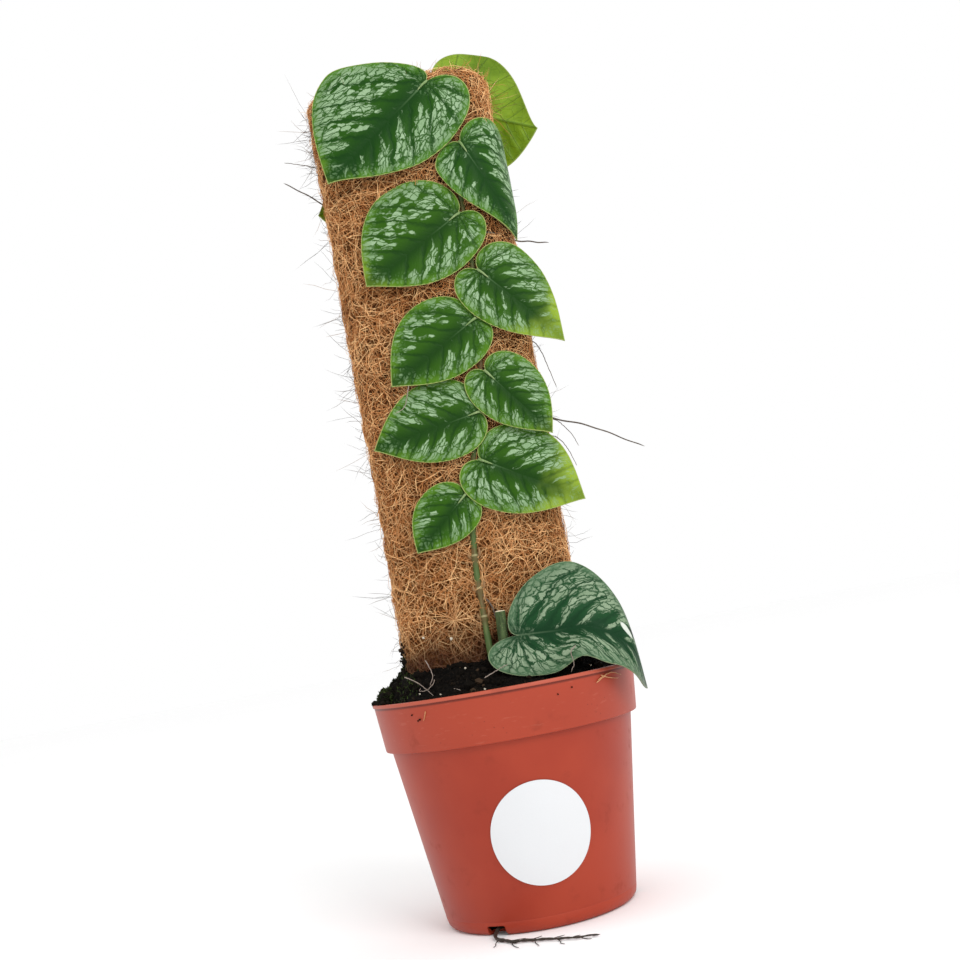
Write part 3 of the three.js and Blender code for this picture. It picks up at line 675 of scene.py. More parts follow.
# Batten: a sawn strip of softwood inside the coir, which stiffens the board and stands on
# the floor of the pot.

softwood = Finish("softwood", Roughness=0.75, Specular_IOR_Level=0.2)
rings = softwood.noise(softwood.place((900, 900, 25)), 0.5, 4)
softwood.set(
    Base_Color=softwood.mix(rings, "#b48a58", "#d0ab78"),
    Normal=softwood.bump(rings, 0.3, 0.3),
)
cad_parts["batten"].material_slots[0].material = softwood.material


# Coir board: a thick flat mat of coconut fibre with rounded edges, pressed round the batten
# and held together by latex. Its surface is a felt of curly strands over gaps painted with
# their dark shade, and its lowest centimetres are stained by the soil.

BOARD_HALF = (39.7, 22)
BOARD_SQUARENESS = 4
BOARD_TOP = 386
TOP_SPREAD = 84.4 / 79.4
SPREAD_FROM = 113
CHAMFER_FROM = 381
CORNER = 6
SECTION_STEPS = 2880
STRAND_LOW = 106
STRAND = (0.18, 0.36)
TOP_STRANDS = 1700
TOP_HALF = (38, 18.5)

mat = cast("coir_board", "coir_mat")
remeshed(mat, 2.0)
roughened(mat, 3.0, 1.6, 2)
smooth(mat)

coir_core = Finish("coir_core", Roughness=0.95, Specular_IOR_Level=0.05)
at = coir_core.place()
strands = None
for turn in (0.35, 1.15, 1.9, 2.7):
    along = coir_core.place((260, 1300, 2100), (0, turn, 0), (turn, turn, turn))
    ridge = abs(coir_core.noise(along, 0.9, 2, 0.5, 0.6) - 0.5).step(0.06, 0.0)
    strands = ridge if strands is None else strands.math("MAXIMUM", ridge)
# Painted shade: darker patches stand for the shade in the felt's hollows.
shaded_hollow = coir_core.noise(at, 0.35, 3)
# The core is painted the dark brown of the shade in the gaps between the strands; its fibre lines
# are its own colour.
coir_core.set(
    Base_Color=coir_core.coats(
        "#4f2c14",
        (strands, "#83532d"),
        (shaded_hollow.step(0.62, 0.4) * 0.5, "#3c2110"),
    ),
    Normal=coir_core.bump(strands, 0.9, 0.5),
)
keep(mat, coir_core, "coir", "coir_board")


def ease(low, high, value):
    share = np.clip((value - low) / (high - low), 0, 1)
    return share * share * (3 - 2 * share)


corner = np.linspace(0, 2 * math.pi, SECTION_STEPS)
section = np.stack([
    half * np.sign(wave) * np.abs(wave) ** (2 / BOARD_SQUARENESS)
    for half, wave in zip(BOARD_HALF, (np.sin(corner), -np.cos(corner)))
], 1)


def run_along(points):
    """How far along a line each of its points lies."""
    return np.concatenate([[0], np.cumsum(np.linalg.norm(np.diff(points, axis=0), axis=1))])


girth = run_along(section)
outward = unit(np.stack([np.gradient(section[:, 1]), -np.gradient(section[:, 0])], 1))


def on_board(around, height, lift):
    """Points on the board's side: how far round from the front's middle, how high, how proud."""
    around, height = np.broadcast_arrays(np.mod(around, girth[-1]), height)
    x, y = (np.interp(around, girth, section[:, i]) for i in (0, 1))
    across, deep = (np.interp(around, girth, outward[:, i]) for i in (0, 1))
    size = np.hypot(across, deep)
    lift = lift - np.maximum(height - CHAMFER_FROM, 0)
    x = x * (1 + (TOP_SPREAD - 1) * ease(SPREAD_FROM, BOARD_TOP, height))
    relief = 0.45 * np.sin(0.11 * x + 0.19 * height) * np.cos(0.23 * x - 0.13 * height)
    grow = 1 + relief / np.maximum(np.hypot(x, y), 1)
    return np.stack([
        BOARD_CENTRE + x * grow + lift * across / size,
        y * grow + lift * deep / size,
        height,
    ], -1)


def strung(name, centres, thickness, rng):
    """Fibres with three sides and pointed ends, each bent along its line of centres in mm."""
    spans = centres.shape[1] - 1
    middle = [(0.5, i / spans) for i in range(1, spans)]
    pattern = turned("strand", [(0.01, 0), *middle, (0.01, 1)], 3)
    shape = vertices(pattern) / MM
    station = np.rint(shape[:, 2] * spans).astype(int)
    thick = rng.uniform(*thickness, (len(centres), 1, 1))
    along = unit(np.gradient(centres, axis=1))
    side = unit(np.cross(along, rng.normal(size=(len(centres), 1, 3))))
    other = np.cross(along, side)
    wide, deep = (thick * shape[:, axis, None] for axis in (0, 1))
    placed = centres[:, station] + wide * side[:, station] + deep * other[:, station]
    piece = copies(name, pattern, placed)
    bpy.data.objects.remove(pattern)
    return piece


def curls(rng, count, spans, lengths, curl):
    """Flat lines that wander and curl: their points from the middle, along and across."""
    t = np.linspace(0, 1, spans + 1)
    length = rng.uniform(*lengths, count)
    start = rng.uniform(0, 2 * math.pi, (count, 1))
    bend = rng.normal(0, curl, (count, 1))
    wobble = rng.normal(0, 0.45 * curl, (count, 1)) * np.sin(
        2 * math.pi * t + rng.uniform(0, 6, (count, 1)))
    heading = start + bend * t + wobble
    step = (length / spans)[:, None]
    a = np.cumsum(np.cos(heading), 1) * step
    b = np.cumsum(np.sin(heading), 1) * step
    return a - a.mean(1, keepdims=True), b - b.mean(1, keepdims=True), t


coir_strand = Finish("coir_strand", Roughness=0.7, Specular_IOR_Level=0.2)
at = coir_strand.place()
patch = coir_strand.noise(at, 0.045, 3)
height = coir_strand.axis(at, "Z")
# A felt strand's tone holds painted light as well as its own colour: prouder strands are paler.
shade = coir_strand.tone() + (patch - 0.5) * 0.5
stain = (height + (patch - 0.5) * 26).step(137, 114)
coir_strand.set(Base_Color=coir_strand.coats(
    "#5c3017",
    (shade.step(0.0, 0.5), "#bc7c45"),
    (shade.step(0.42, 0.88), "#f5c68c"),
    (stain * 0.88, "#3e1a13"),
))

half_front = girth[-1] / 4 - CORNER
half_round = girth[-1] / 2
all_round = (0, girth[-1])
front = (-half_front, half_front)
right = (half_front, half_round - half_front)
back = (half_round - half_front, half_round + half_front)
left = (half_round + half_front, girth[-1] - half_front)
for name, seed, count, spans, lengths, places, thickness, lift, curl in (
    ("coir_felt_front", 11, 9000, 3, (6, 16), front, STRAND, 0.9, 0.8),
    ("coir_felt_right", 12, 3100, 3, (6, 16), right, STRAND, 0.4, 0.8),
    ("coir_felt_back", 13, 7400, 3, (6, 16), back, STRAND, 0.9, 0.8),
    ("coir_felt_left", 14, 3100, 3, (6, 16), left, STRAND, 0.4, 0.8),
    ("coir_curls_front", 15, 1900, 7, (14, 32), front, (0.14, 0.28), 1.3, 2.2),
    ("coir_hairs_front", 16, 4200, 3, (6, 18), front, (0.12, 0.2), 1.7, 0.5),
):
    rng = np.random.default_rng(seed)
    a, b, t = curls(rng, count, spans, lengths, curl)
    around = rng.uniform(*places, (count, 1)) + a
    height = rng.uniform(STRAND_LOW, BOARD_TOP - 1, (count, 1)) + b
    height = np.clip(height, STRAND_LOW - 4, BOARD_TOP + 1.5)
    base = rng.uniform(-0.3, lift, (count, 1))
    arch = rng.uniform(0.2, 1.1, (count, 1)) * np.sin(math.pi * t)
    tuck = -1.2 * np.abs(2 * t - 1) ** 4
    felt = strung(name, on_board(around, height, base + arch + tuck), thickness, rng)
    # Painted light: strands that stand further off the board get a paler tone, as if more lit, and
    # those that lie deep a darker one, as if shaded; the rest of each tone is random.
    lit_by_lift = (base[:, 0] + arch.max(1)) / 2
    tones(felt, np.clip(rng.beta(2.2, 2, count) * 0.8 + 0.25 * lit_by_lift, 0, 1))
    keep(felt, coir_strand, "coir")

rng = np.random.default_rng(17)
a, b, t = curls(rng, TOP_STRANDS, 3, (6, 15), 0.8)
edge = on_board(rng.uniform(*all_round, (TOP_STRANDS, 1)), BOARD_TOP, 0.0)
spread = np.sqrt(rng.random((TOP_STRANDS, 1, 1))) * 0.97
x, y = np.moveaxis(edge * spread, 2, 0)[:2]
x = x + a + (1 - spread[..., 0]) * BOARD_CENTRE
y = y + b
within = (np.abs(x / TOP_HALF[0]) ** 4 + np.abs(y / TOP_HALF[1]) ** 4).max(1) < 1.15
arch = rng.uniform(0.1, 1.0, (TOP_STRANDS, 1)) * np.sin(math.pi * t)
arch = arch - 0.9 * np.abs(2 * t - 1) ** 4
rise = BOARD_TOP + 0.4 + rng.uniform(-0.3, 0.6, (TOP_STRANDS, 1)) + arch
top_felt = strung("coir_felt_top", np.stack([x, y, rise], 2)[within], STRAND, rng)
tones(top_felt, rng.beta(2.2, 2, within.sum()))
keep(top_felt, coir_strand, "coir")


# Loose fibres: ends of the coir that stand off the board's sides in tufts and look grey
# against the light, a frayed top, and a star-shaped knot of strands near the board's foot.

KNOT = np.array([-16, -23.4, 131.7])
KNOT_STRANDS = 24
LOOSE_FIBRES = (
    # tufts, fibres in each, places round the board, heights, lengths, upward lean
    (130, 4, (left[0], left[1] + 5), (112, 384), (1.5, 10.5), 0.0),
    (18, 11, (left[1] - 14, left[1] + 2), (352, 379), (2, 8), 0.0),
    (90, 4, (right[0] - 5, right[1]), (112, 384), (1.5, 9), 0.0),
    (45, 3, back, (112, 384), (1.5, 7), 0.0),
    (14, 3, all_round, (383, 385), (2, 6), 0.7),
)
FRAYED_TOP = (
    (60, 4, all_round, (382, 385.5), (2, 5), 0.5),
    (26, 4, (37, front[1] + 8), (362, 385), (3, 9), 0.3),
)


def stray_fibres(name, seed, groups, thickness):
    """Tufts of fibres that stand off the board, each one bent its own way."""
    rng = np.random.default_rng(seed)
    t = np.linspace(0, 1, 6)[:, None]
    lines = []
    for tufts, size, places, heights, lengths, lean in groups:
        count = tufts * size
        around, height = (
            np.repeat(rng.uniform(*span, tufts), size)[:, None] + rng.normal(0, 1.6, (count, 1))
            for span in (places, heights))
        height = np.minimum(height, BOARD_TOP - 0.5)
        foot = on_board(around, height, -1.5)
        heading = on_board(around, height, -0.5) - foot
        heading = heading + rng.normal(0, (0.5, 0.5, 0.8), (count, 1, 3))
        heading[..., 2] += lean
        heading = unit(heading)
        swerve = rng.normal(0, 0.75, (count, 1, 3))
        short, long = lengths
        run = (short + (long - short) * rng.random((count, 1, 1)) ** 1.6) * t
        kink = rng.normal(0, 0.4, (count, 6, 3)) * t
        lines.append(foot + heading * run + swerve * run * t + kink)
    centres = np.concatenate(lines)
    piece = strung(name, centres, thickness, rng)
    tones(piece, rng.random(len(centres)))
    return piece


loose = stray_fibres("coir_loose_fibres", 18, LOOSE_FIBRES, (0.11, 0.19))
keep(stray_fibres("coir_frayed_top", 19, FRAYED_TOP, (0.13, 0.22)), coir_strand, "coir")

rng = np.random.default_rng(20)
t = np.linspace(0, 1, 6)
angle = np.linspace(0, 2 * math.pi, KNOT_STRANDS, endpoint=False)[:, None]
angle = angle + rng.normal(0, 0.12, angle.shape)
run = rng.uniform(4, 9.5, angle.shape) * t
bow = np.broadcast_to(0.9 * np.sin(math.pi * t) + 0.6 - 0.9 * t, run.shape)
star = KNOT + np.stack([run * np.cos(angle), -bow, run * np.sin(angle)], 2)
star_knot = strung("coir_star_knot", star, (0.22, 0.34), rng)
tones(star_knot, rng.uniform(0.6, 0.9, KNOT_STRANDS))
keep(star_knot, coir_strand, "coir")

loose_fibre = Finish("loose_fibre", Roughness=0.7, Specular_IOR_Level=0.2)
cloud = loose_fibre.noise(loose_fibre.place(), 0.05, 2)
loose_fibre.set(Base_Color=loose_fibre.coats(
    "#2b2422",
    (cloud.step(0.35, 0.65), "#4f3a2d"),
    (loose_fibre.tone().step(0.6, 1.0), "#957350"),
))
keep(loose, loose_fibre, "coir")


# Vine leaves: thin living blades, heart-shaped and pressed against the board like
# shingles. Between the dark green veins their skin is blistered into silver blocks, and a
# pale line runs round their edge.

BLADE = 0.5
BLADE_RELIEF = 0.42
BLADE_MIDDLE = 0.38
LEAF_REST = 3.8
LEAF_SLOPE = 0.08
LEAF_CUP = 0.0012
MARGIN_WAVE = 0.25
OUTLINE_STEPS = 34
RINGS = 22
SHINGLE_VEINS = dict(lean=0.66, curve=0.4, closing=0.4, spacing=0.185)
LIME_VEINS = dict(SHINGLE_VEINS, spacing=0.2)
BASAL_SPREAD = math.radians(31)
OLDER_GREENS = dict(dark="#17390f", mid="#2c530e", fresh="#4a731a")

# Each half of a leaf has its width, widest place and lobe, and may have its fullness towards
# the tip and its shoulder, all in shares of the leaf's length.
FRONT_LEAVES = (
    dict(notch=(12.5, 377), length=65.9, aim=-51.5, lime=0.3, silver=1.12,
         left=(0.57, 0.41, 0.16, 0.35, 0.22), right=(0.42, 0.24, 0.17, 0.17, -0.31)),
    dict(notch=(24, 345.1), length=52.2, aim=24.6, bend=24, wrap=21.7, lime=0.25, silver=0.8,
         left=(0.32, 0.11, 0.09, 0.09, -0.05), right=(0.56, 0.26, 0.13, 0.26, -0.27)),
    dict(notch=(16.4, 312.3), length=53.2, aim=-59.9, lime=0.45, silver=0.62,
         left=(0.56, 0.38, 0.12, 0.4), right=(0.39, 0.28, 0.17)),
    dict(notch=(22.1, 284.3), length=50.2, aim=41, wrap=70, lime=1.0, silver=1.05,
         left=(0.35, 0.2, 0.15), right=(0.41, 0.18, 0.13, 0.3)),
    dict(notch=(15.6, 262.9), length=48.4, aim=-59.4, lime=0.3, silver=0.4,
         left=(0.46, 0.38, 0.06, 0.35), right=(0.34, 0.28, 0.1)),
    dict(notch=(17.1, 237.7), length=40.2, aim=36.8, lime=0.45, silver=0.75,
         left=(0.37, 0.22, 0.16), right=(0.42, 0.3, 0.13, 0.35)),
    dict(notch=(10, 220.7), length=49.5, aim=-79.3, lime=0.25, silver=1.1,
         left=(0.43, 0.36, 0.06, 0.35), right=(0.33, 0.3, 0.06)),
    dict(notch=(8.1, 198.9), length=49.1, aim=60, wrap=70, lime=1.0, silver=1.0,
         left=(0.39, 0.2, 0.16), right=(0.46, 0.38, 0.1, 0.3)),
    dict(notch=(-2.2, 185.1), length=33.3, aim=-48.4, sunk=0.25, lime=0.15, silver=0.45,
         left=(0.44, 0.38, 0.08, 0.4), right=(0.38, 0.25, 0.08)),
)
BACK_LEAVES = (
    dict(notch=(27.2, 385.2), length=44, aim=62.4, wrap=90,
         left=(0.58, 0.58, 0.14, 0.53), right=(0.64, 0.17, 0.31, 0.06, -0.65)),
    dict(notch=(-8, 352.5), length=44, aim=-75, left=(0.42, 0.36), right=(0.44, 0.4, 0.14, 0.6)),
    dict(notch=(5, 307), length=48, aim=46, lime=0.4, silver=0.8,
         left=(0.42, 0.3), right=(0.42, 0.3)),
    dict(notch=(-9, 262), length=44, aim=-48, lime=0.3, silver=0.7,
         left=(0.42, 0.32), right=(0.41, 0.3)),
    dict(notch=(3, 219), length=36, aim=42, lime=0.3, silver=0.6,
         left=(0.42, 0.32), right=(0.42, 0.32)),
)
for side, leaves in (("front", FRONT_LEAVES), ("back", BACK_LEAVES)):
    for number, leaf in enumerate(leaves, 1):
        leaf["node"] = f"leaf_{side}_{number:02}"


def bezier(controls, steps):
    a, b, c, d = (np.array(point, dtype=float) for point in controls)
    t = np.linspace(0, 1, steps, endpoint=False)[:, None]
    return a * (1 - t) ** 3 + 3 * b * t * (1 - t) ** 2 + 3 * c * t ** 2 * (1 - t) + d * t ** 3


def heart(length, left, right):
    """A leaf's outline with its notch at the origin and its tip at (0, length)."""

    def half(width, widest, lobe=0.14, full=0.25, shoulder=None):
        shoulder = -1.35 * lobe if shoulder is None else shoulder
        towards_tip = 1 - widest
        lobe_curve = [(0, 0), (0.05 * width, -1.5 * lobe), (width, shoulder), (width, widest)]
        tip_curve = [
            (width, widest), (width, widest + 0.5 * towards_tip),
            (full * width, widest + 0.8 * towards_tip), (0, 1),
        ]
        return lobe_curve, tip_curve

    near_lobe, near_tip = half(*right)
    far_lobe, far_tip = half(*left)
    return length * np.concatenate([
        bezier(near_lobe, OUTLINE_STEPS),
        bezier(near_tip, OUTLINE_STEPS),
        bezier(far_tip[::-1], OUTLINE_STEPS) * (-1, 1),
        bezier(far_lobe[::-1], OUTLINE_STEPS) * (-1, 1),
    ])


def leaf_surface(face, leaf, u, v):
    """Where points of a leaf's flat outline lie on the board: u across the leaf, v to its tip."""
    aim = math.radians(leaf["aim"])
    notch_x, notch_z = leaf["notch"]
    bend, wrap = leaf.get("bend", 28), leaf.get("wrap", 60)
    tip_x, tip_z = math.sin(aim), -math.cos(aim)
    from_middle = notch_x + v * tip_x - u * tip_z - BOARD_CENTRE
    height = notch_z + v * tip_z + u * tip_x
    turn = np.maximum(0, np.abs(from_middle) - bend) / wrap
    straight = np.minimum(np.abs(from_middle), bend)
    across = np.sign(from_middle) * (straight + wrap * np.sin(turn))
    back = wrap * (1 - np.cos(turn))
    wave = MARGIN_WAVE * np.sin(0.35 * v + 0.2 * notch_z) * ease(8, 20, np.abs(u))
    rest = LEAF_REST - leaf.get("sunk", 0)
    lift = rest + LEAF_SLOPE * (notch_z - height) - LEAF_CUP * u * u + wave
    return np.stack([BOARD_CENTRE + across, face * (BOARD_HALF[1] + lift - back), height], 1)


def vein_count(u, v, lean, curve, closing, spacing):
    """Which side vein a point of a leaf lies on, in shares of its length; whole on a vein."""
    across = np.abs(u)
    forward = (v - curve * across * across) / (1 + closing * v)
    lead = forward - lean * across
    basal = (math.atan2(1, lean) - np.arctan2(across, forward)) / BASAL_SPREAD
    return np.where(lead > 0, lead * (1 + closing * v) / spacing, basal)


def blade(name, leaf, middle, surface, thickness, relief, veins):
    """A thin leaf: a grid bent round its middle point, laid on a surface and given thickness."""
    length = leaf["length"]
    outline = heart(length, leaf["left"], leaf["right"])
    centre = np.array([0, middle * length])
    piece = primitive(
        bpy.ops.mesh.primitive_grid_add, name, x_subdivisions=RINGS, y_subdivisions=len(outline),
        size=2)
    grid = vertices(piece)
    share = (grid[:, 0] + 1) / 2
    share = share * (1.25 - 0.25 * share)
    spoke = np.rint((grid[:, 1] + 1) / 2 * len(outline)).astype(int) % len(outline)
    flat = centre + share[:, None] * (outline[spoke] - centre)
    u, v = flat.T
    gaps = flat[:, None] - outline[None, ::2]
    margin = np.sqrt((gaps ** 2).sum(2).min(1))
    margin[share > 0.999] = 0
    which = vein_count(u / length, v / length, **veins)
    strip = 0.5 - np.abs(which - np.floor(which) - 0.5)
    inner = ease(0.0, 0.09 * length, np.abs(u)) * ease(0, 2.5, margin)
    puff = relief * (ease(0, 0.32, strip) - 0.5) * inner
    valley = -0.9 * relief * np.exp(-(u / (0.022 * length)) ** 2) * ease(0, 3, margin)
    curl = -0.25 * np.exp(-(margin / 1.2) ** 2)
    reshape(piece, surface(u, v, puff + valley + curl) * MM)
    attribute = piece.data.attributes.new("flat", "FLOAT_VECTOR", "POINT")
    attribute.data.foreach_set("vector", np.stack([u / length, v / length, margin], 1).ravel())
    edit(bpy.ops.mesh.remove_doubles, threshold=0.000004)
    body = piece.modifiers.new("blade", "SOLIDIFY")
    body.thickness = thickness * MM
    body.offset = 0
    apply_modifiers(piece)
    smooth(piece)
    return piece


def vine_leaf(face, leaf):
    """One shingle leaf: raised between its veins, towards whoever faces the board."""

    def surface(u, v, raised):
        points = leaf_surface(face, leaf, u, v)
        points[:, 1] += face * raised
        return points

    return blade("shingle_" + leaf["node"], leaf, BLADE_MIDDLE, surface, BLADE, BLADE_RELIEF,
                 SHINGLE_VEINS)


def vein_map(skin, lean, curve, closing, spacing, wander=0.0):
    """The same count for a finish, with a point's place across, along and off the margin."""
    flat = skin.node("Attribute", {"attribute_name": "flat"}, out="Vector")
    u, v, margin = (skin.axis(flat, name) for name in "XYZ")
    across = abs(u)
    forward = (v - across * across * curve) / (v * closing + 1)
    lead = forward - across * lean
    pinnate = lead * (v * closing + 1) / spacing
    basal = (math.atan2(1, lean) - across.math("ARCTAN2", forward)) / BASAL_SPREAD
    which = basal + (pinnate - basal) * lead.math("GREATER_THAN", 0) + wander
    behind = forward.math("MINIMUM", 0)
    along = (across * across + behind * behind).math("SQRT")
    return u, v, margin, which, along


def leaf_finish(name, length, veins, lime=0.3, silver=0.8, dark="#12370f", mid="#224b0d",
                fresh="#437019", tip="#86a02f", pale="#a2bb99", mint="#77986b", edge="#93a05e",
                zone=0.06, band=0.23, lopsided=0.0):
    """Leaf skin: dark along the veins, with silver blocks between them that thin out to the tip."""
    skin = Finish(name, Specular_IOR_Level=0.07)
    at = skin.place()
    wander = (skin.noise(at, 0.13) - 0.5) * 0.55 + (skin.noise(at, 0.7) - 0.5) * 0.16
    u, v, margin, which, along = vein_map(skin, wander=wander, **veins)
    side = u.math("SIGN")
    off_vein = 0.5 - abs(which.math("FRACT") - 0.5)
    reach = along * length
    patch = skin.noise(at, 0.11)

    # The skin between two side veins is cut into blocks, and each block draws its own lot.
    rows = reach / 8 + reach * reach * 0.0075 + (skin.noise(at, 0.45) - 0.5) * 1.1
    block = skin.node("CombineXYZ", None, {0: which * 2.5, 1: rows, 2: side * 7})
    cracks = skin.cells(block, 1, "DISTANCE_TO_EDGE")
    lots = skin.cells(block, 1, out="Color")
    draw, tint = (skin.node("SeparateColor", None, {0: lots}, name) for name in ("Red", "Green"))
    lengthwise = skin.node("CombineXYZ", None, {0: which * 8, 1: reach / 4, 2: side * 5})
    streak = skin.noise(lengthwise, 1, 5, 0.68)
    net = skin.cells(at, 0.95, "DISTANCE_TO_EDGE")

    # Silver shows where a block draws a low lot, away from the veins and the leaf's notch.
    point = (along - u * lopsided).step(zone + 0.13, zone)
    vein_edge = band - along * (1.5 * band) + point * 0.3
    wanted = (patch - 0.5) * 1.3 + 0.62 * silver + 0.32 - v.step(0.85, 1.0) * 0.1 - point * 0.25
    present = (wanted - draw).step(-0.12, 0.16)
    shown = (off_vein - vein_edge) * 3.2 + (streak - 0.5) * 3.2 + present * 1.7
    third = 0.5 - abs((which * 3).math("FRACT") - 0.5)
    crack_gap = cracks.step(0.01, 0.22 - streak * 0.17)
    gap = crack_gap.math("MINIMUM", third.step(0.0, 0.2 - streak * 0.14))
    cover = shown.step(1.35, 1.85) * gap * margin.step(0.6, 1.6) * abs(u).step(0.008, 0.04)

    ripening = v + (patch - 0.5) * 0.4 + 0.5 * lime + margin.step(6, 0) * 0.12 * lime
    young = ripening.step(1.0, 1.38) * min(1, 0.45 + lime)
    deep = (along.step(zone * 2.6, 0.0) + off_vein.step(0.18, 0.0) * 0.7).math("MINIMUM", 1)
    deep = deep * (1 - young * 0.5) * 0.9
    leafy = skin.coats(mid, (margin.step(5, 1), fresh), (young, tip), (deep, dark))
    tinged = (margin.step(7, 1) * 0.45 + young * 0.3).math("MINIMUM", 0.6)
    silvery = skin.coats(
        mint,
        (tint * 0.45 + streak * 0.6, pale),
        (tinged, leafy),
        (net.step(0.16, 0.02) * 0.18, mid),
    )
    beads = skin.cells(at, 0.5, "DISTANCE_TO_EDGE").step(0.08, 0.2) * margin.step(0.8, 1.8)
    rib = abs(u).step(0.010, 0.002) * v.step(0.34, 0.0)
    veined = off_vein.step(0.1, 0.0) * along.step(0.5, 0.1)
    skin.set(
        Base_Color=skin.coats(
            leafy,
            (beads * margin.step(8, 4) * streak.step(0.4, 0.6) * 0.4, mint),
            (cover * 0.94, silvery),
            (rib * 0.3, mint),
            (margin.step(0.55, 0.3) * 0.9, edge),
        ),
        Roughness=cover * 0.08 + streak * 0.15 + 0.36,
        Normal=skin.bump(cover * 0.5 - veined * 0.6 + gap * 0.3 + streak * 0.3, 0.5, 0.3),
    )
    return skin


for face, slot, leaves, greens in (
    (-1, "leaf", FRONT_LEAVES[:2], {}),
    (-1, "leaf", FRONT_LEAVES[2:], OLDER_GREENS),
    (1, "young_leaf", BACK_LEAVES[2:], {}),
):
    for leaf in leaves:
        skin = leaf_finish(leaf["node"] + "_skin", leaf["length"], SHINGLE_VEINS, leaf["lime"],
                           leaf["silver"], **greens)
        keep(vine_leaf(face, leaf), skin, slot, leaf["node"])

lime_skin = Finish("lime_leaf_skin", Roughness=0.42, Specular_IOR_Level=0.25)
at = lime_skin.place()
u, v, margin, which, along = vein_map(lime_skin, **LIME_VEINS)
off_vein = 0.5 - abs(which.math("FRACT") - 0.5)
veins = off_vein.step(0.05, 0.0).math("MAXIMUM", abs(u).step(0.02, 0.004))
nets = lime_skin.cells(at, 0.22, "DISTANCE_TO_EDGE").step(0.08, 0.0)
cloud = lime_skin.noise(at, 0.06, 3)
lime_skin.set(
    Base_Color=lime_skin.coats(
        "#5f8010",
        (cloud.step(0.3, 0.7), "#83a427"),
        (nets * 0.25, "#4d6b10"),
        (veins * 0.55, "#3f5c10"),
        (margin.step(0.6, 0.3), "#8aa048"),
    ),
    Normal=lime_skin.bump(veins * 0.7 + nets * 0.3, 0.6, 0.4),
)
for leaf in BACK_LEAVES[:2]:
    keep(vine_leaf(1, leaf), lime_skin, "young_leaf", leaf["node"])


# Vine stems: two living stems climb the board, one on each face, and root into the coir.
# Each has swollen nodes with a pale ring, short stalks to its leaves, and brown bud scales.

STEM_RADII = (1.5, 1.28)
STEM_STEPS = 420
NODE_BELOW_LEAF = 7
BARE_NODES_FRONT = [130, 142.5, 157]
BARE_NODES_BACK = [150, 182]
SCALED_NODES = 5
STALK_RADII = (1.04, 0.8)
STALK_END_RADII = (0.8, 0.25)
ROOT_RADII = (0.52, 0.26)
FRONT_STEM = (
    # points out of the soil, then x and height of points on the board
    [(-3.4, -33, 88), (-3.2, -28, 104), (-3.2, -24.5, 118)],
    [(-3.2, 134), (-3.1, 150), (-1.8, 167), (0.5, 184), (4, 199), (9.5, 218), (14, 237),
     (16.5, 262), (19, 284), (19.5, 312), (19.5, 344), (15.5, 371)],
)
BACK_STEM = (
    [(-4, 34, 88), (-4, 28.5, 104), (-4, 24.5, 118)],
    [(-3.5, 134), (-2.5, 165), (0, 205), (-2, 235), (-4.5, 262), (-2, 285), (0, 307), (-1.5, 330),
     (1, 352), (10, 369), (18, 377)],
)
FRONT_ROOTS = (
    # height at which a root leaves the stem, and its further points
    (231, [(24, -23.4, 223), (34, -22.6, 218), (44, -18, 213), (58, -17, 207.5),
           (81.5, -17, 193.5)]),
    (301, [(28, -21.6, 303), (35, -17.6, 302), (41, -10.5, 300.6), (48, -9, 299.3),
           (57, -9, 297)]),
    (142, [(-0.8, -23.4, 138.5), (1.2, -23.9, 134), (1.6, -23.7, 129)]),
)
BACK_ROOTS = (
    (334, [(-18, 23.5, 337), (-33, 22.6, 339), (-44, 17.5, 342.5), (-54, 14.5, 350),
           (-63.5, 14, 357)]),
    (218, [(-9, 23.4, 214), (-15, 23.4, 206)]),
)


def smooth_path(points, count):
    """Evenly spaced points of a smooth curve through the given ones."""
    points = np.array(points, dtype=float)
    ends = np.concatenate([[2 * points[0] - points[1]], points, [2 * points[-1] - points[-2]]])
    spans = np.maximum(np.linalg.norm(np.diff(ends, axis=0), axis=1) ** 0.5, 1e-6)
    t = np.linspace(0, 1, 60, endpoint=False)[:, None]
    line = []
    for i in range(1, len(ends) - 2):
        before, here, after = spans[i - 1], spans[i], spans[i + 1]
        a, b, c, d = ends[i - 1:i + 3]
        leaving = ((b - a) / before - (c - a) / (before + here) + (c - b) / here) * here
        arriving = ((c - b) / here - (d - b) / (here + after) + (d - c) / after) * here
        line.append(
            b + leaving * t + (3 * (c - b) - 2 * leaving - arriving) * t ** 2
            + (2 * (b - c) + leaving + arriving) * t ** 3)
    line = np.concatenate([*line, points[-1:]])
    run = run_along(line)
    even = np.linspace(0, run[-1], count)
    return np.stack([np.interp(even, run, line[:, axis]) for axis in range(3)], 1)


def rod(path, radii, tip=0, resolution=2):
    """A round rod along a path in mm. Its radii are given point by point, or at its two ends,
    and both ends close in over the tip's length like the tip of a finger."""
    if len(radii) == 2:
        radii = np.linspace(*radii, len(path))
    if tip:
        run = run_along(path)
        near = np.clip(np.minimum(run, run[-1] - run) / tip, 0, 1)
        radii = radii * np.sqrt(np.clip(1 - (1 - near) ** 2, 0.02, 1))
    curve = bpy.data.curves.new("rod", "CURVE")
    curve.dimensions = "3D"
    curve.bevel_depth = MM
    curve.bevel_resolution = resolution
    curve.use_fill_caps = True
    line = curve.splines.new("POLY")
    line.points.add(len(path) - 1)
    line.points.foreach_set("co", np.c_[np.asarray(path) * MM, np.ones(len(path))].ravel())
    line.points.foreach_set("radius", radii)
    pick(add("rod", curve))
    bpy.ops.object.convert(target="MESH")
    return bpy.context.object


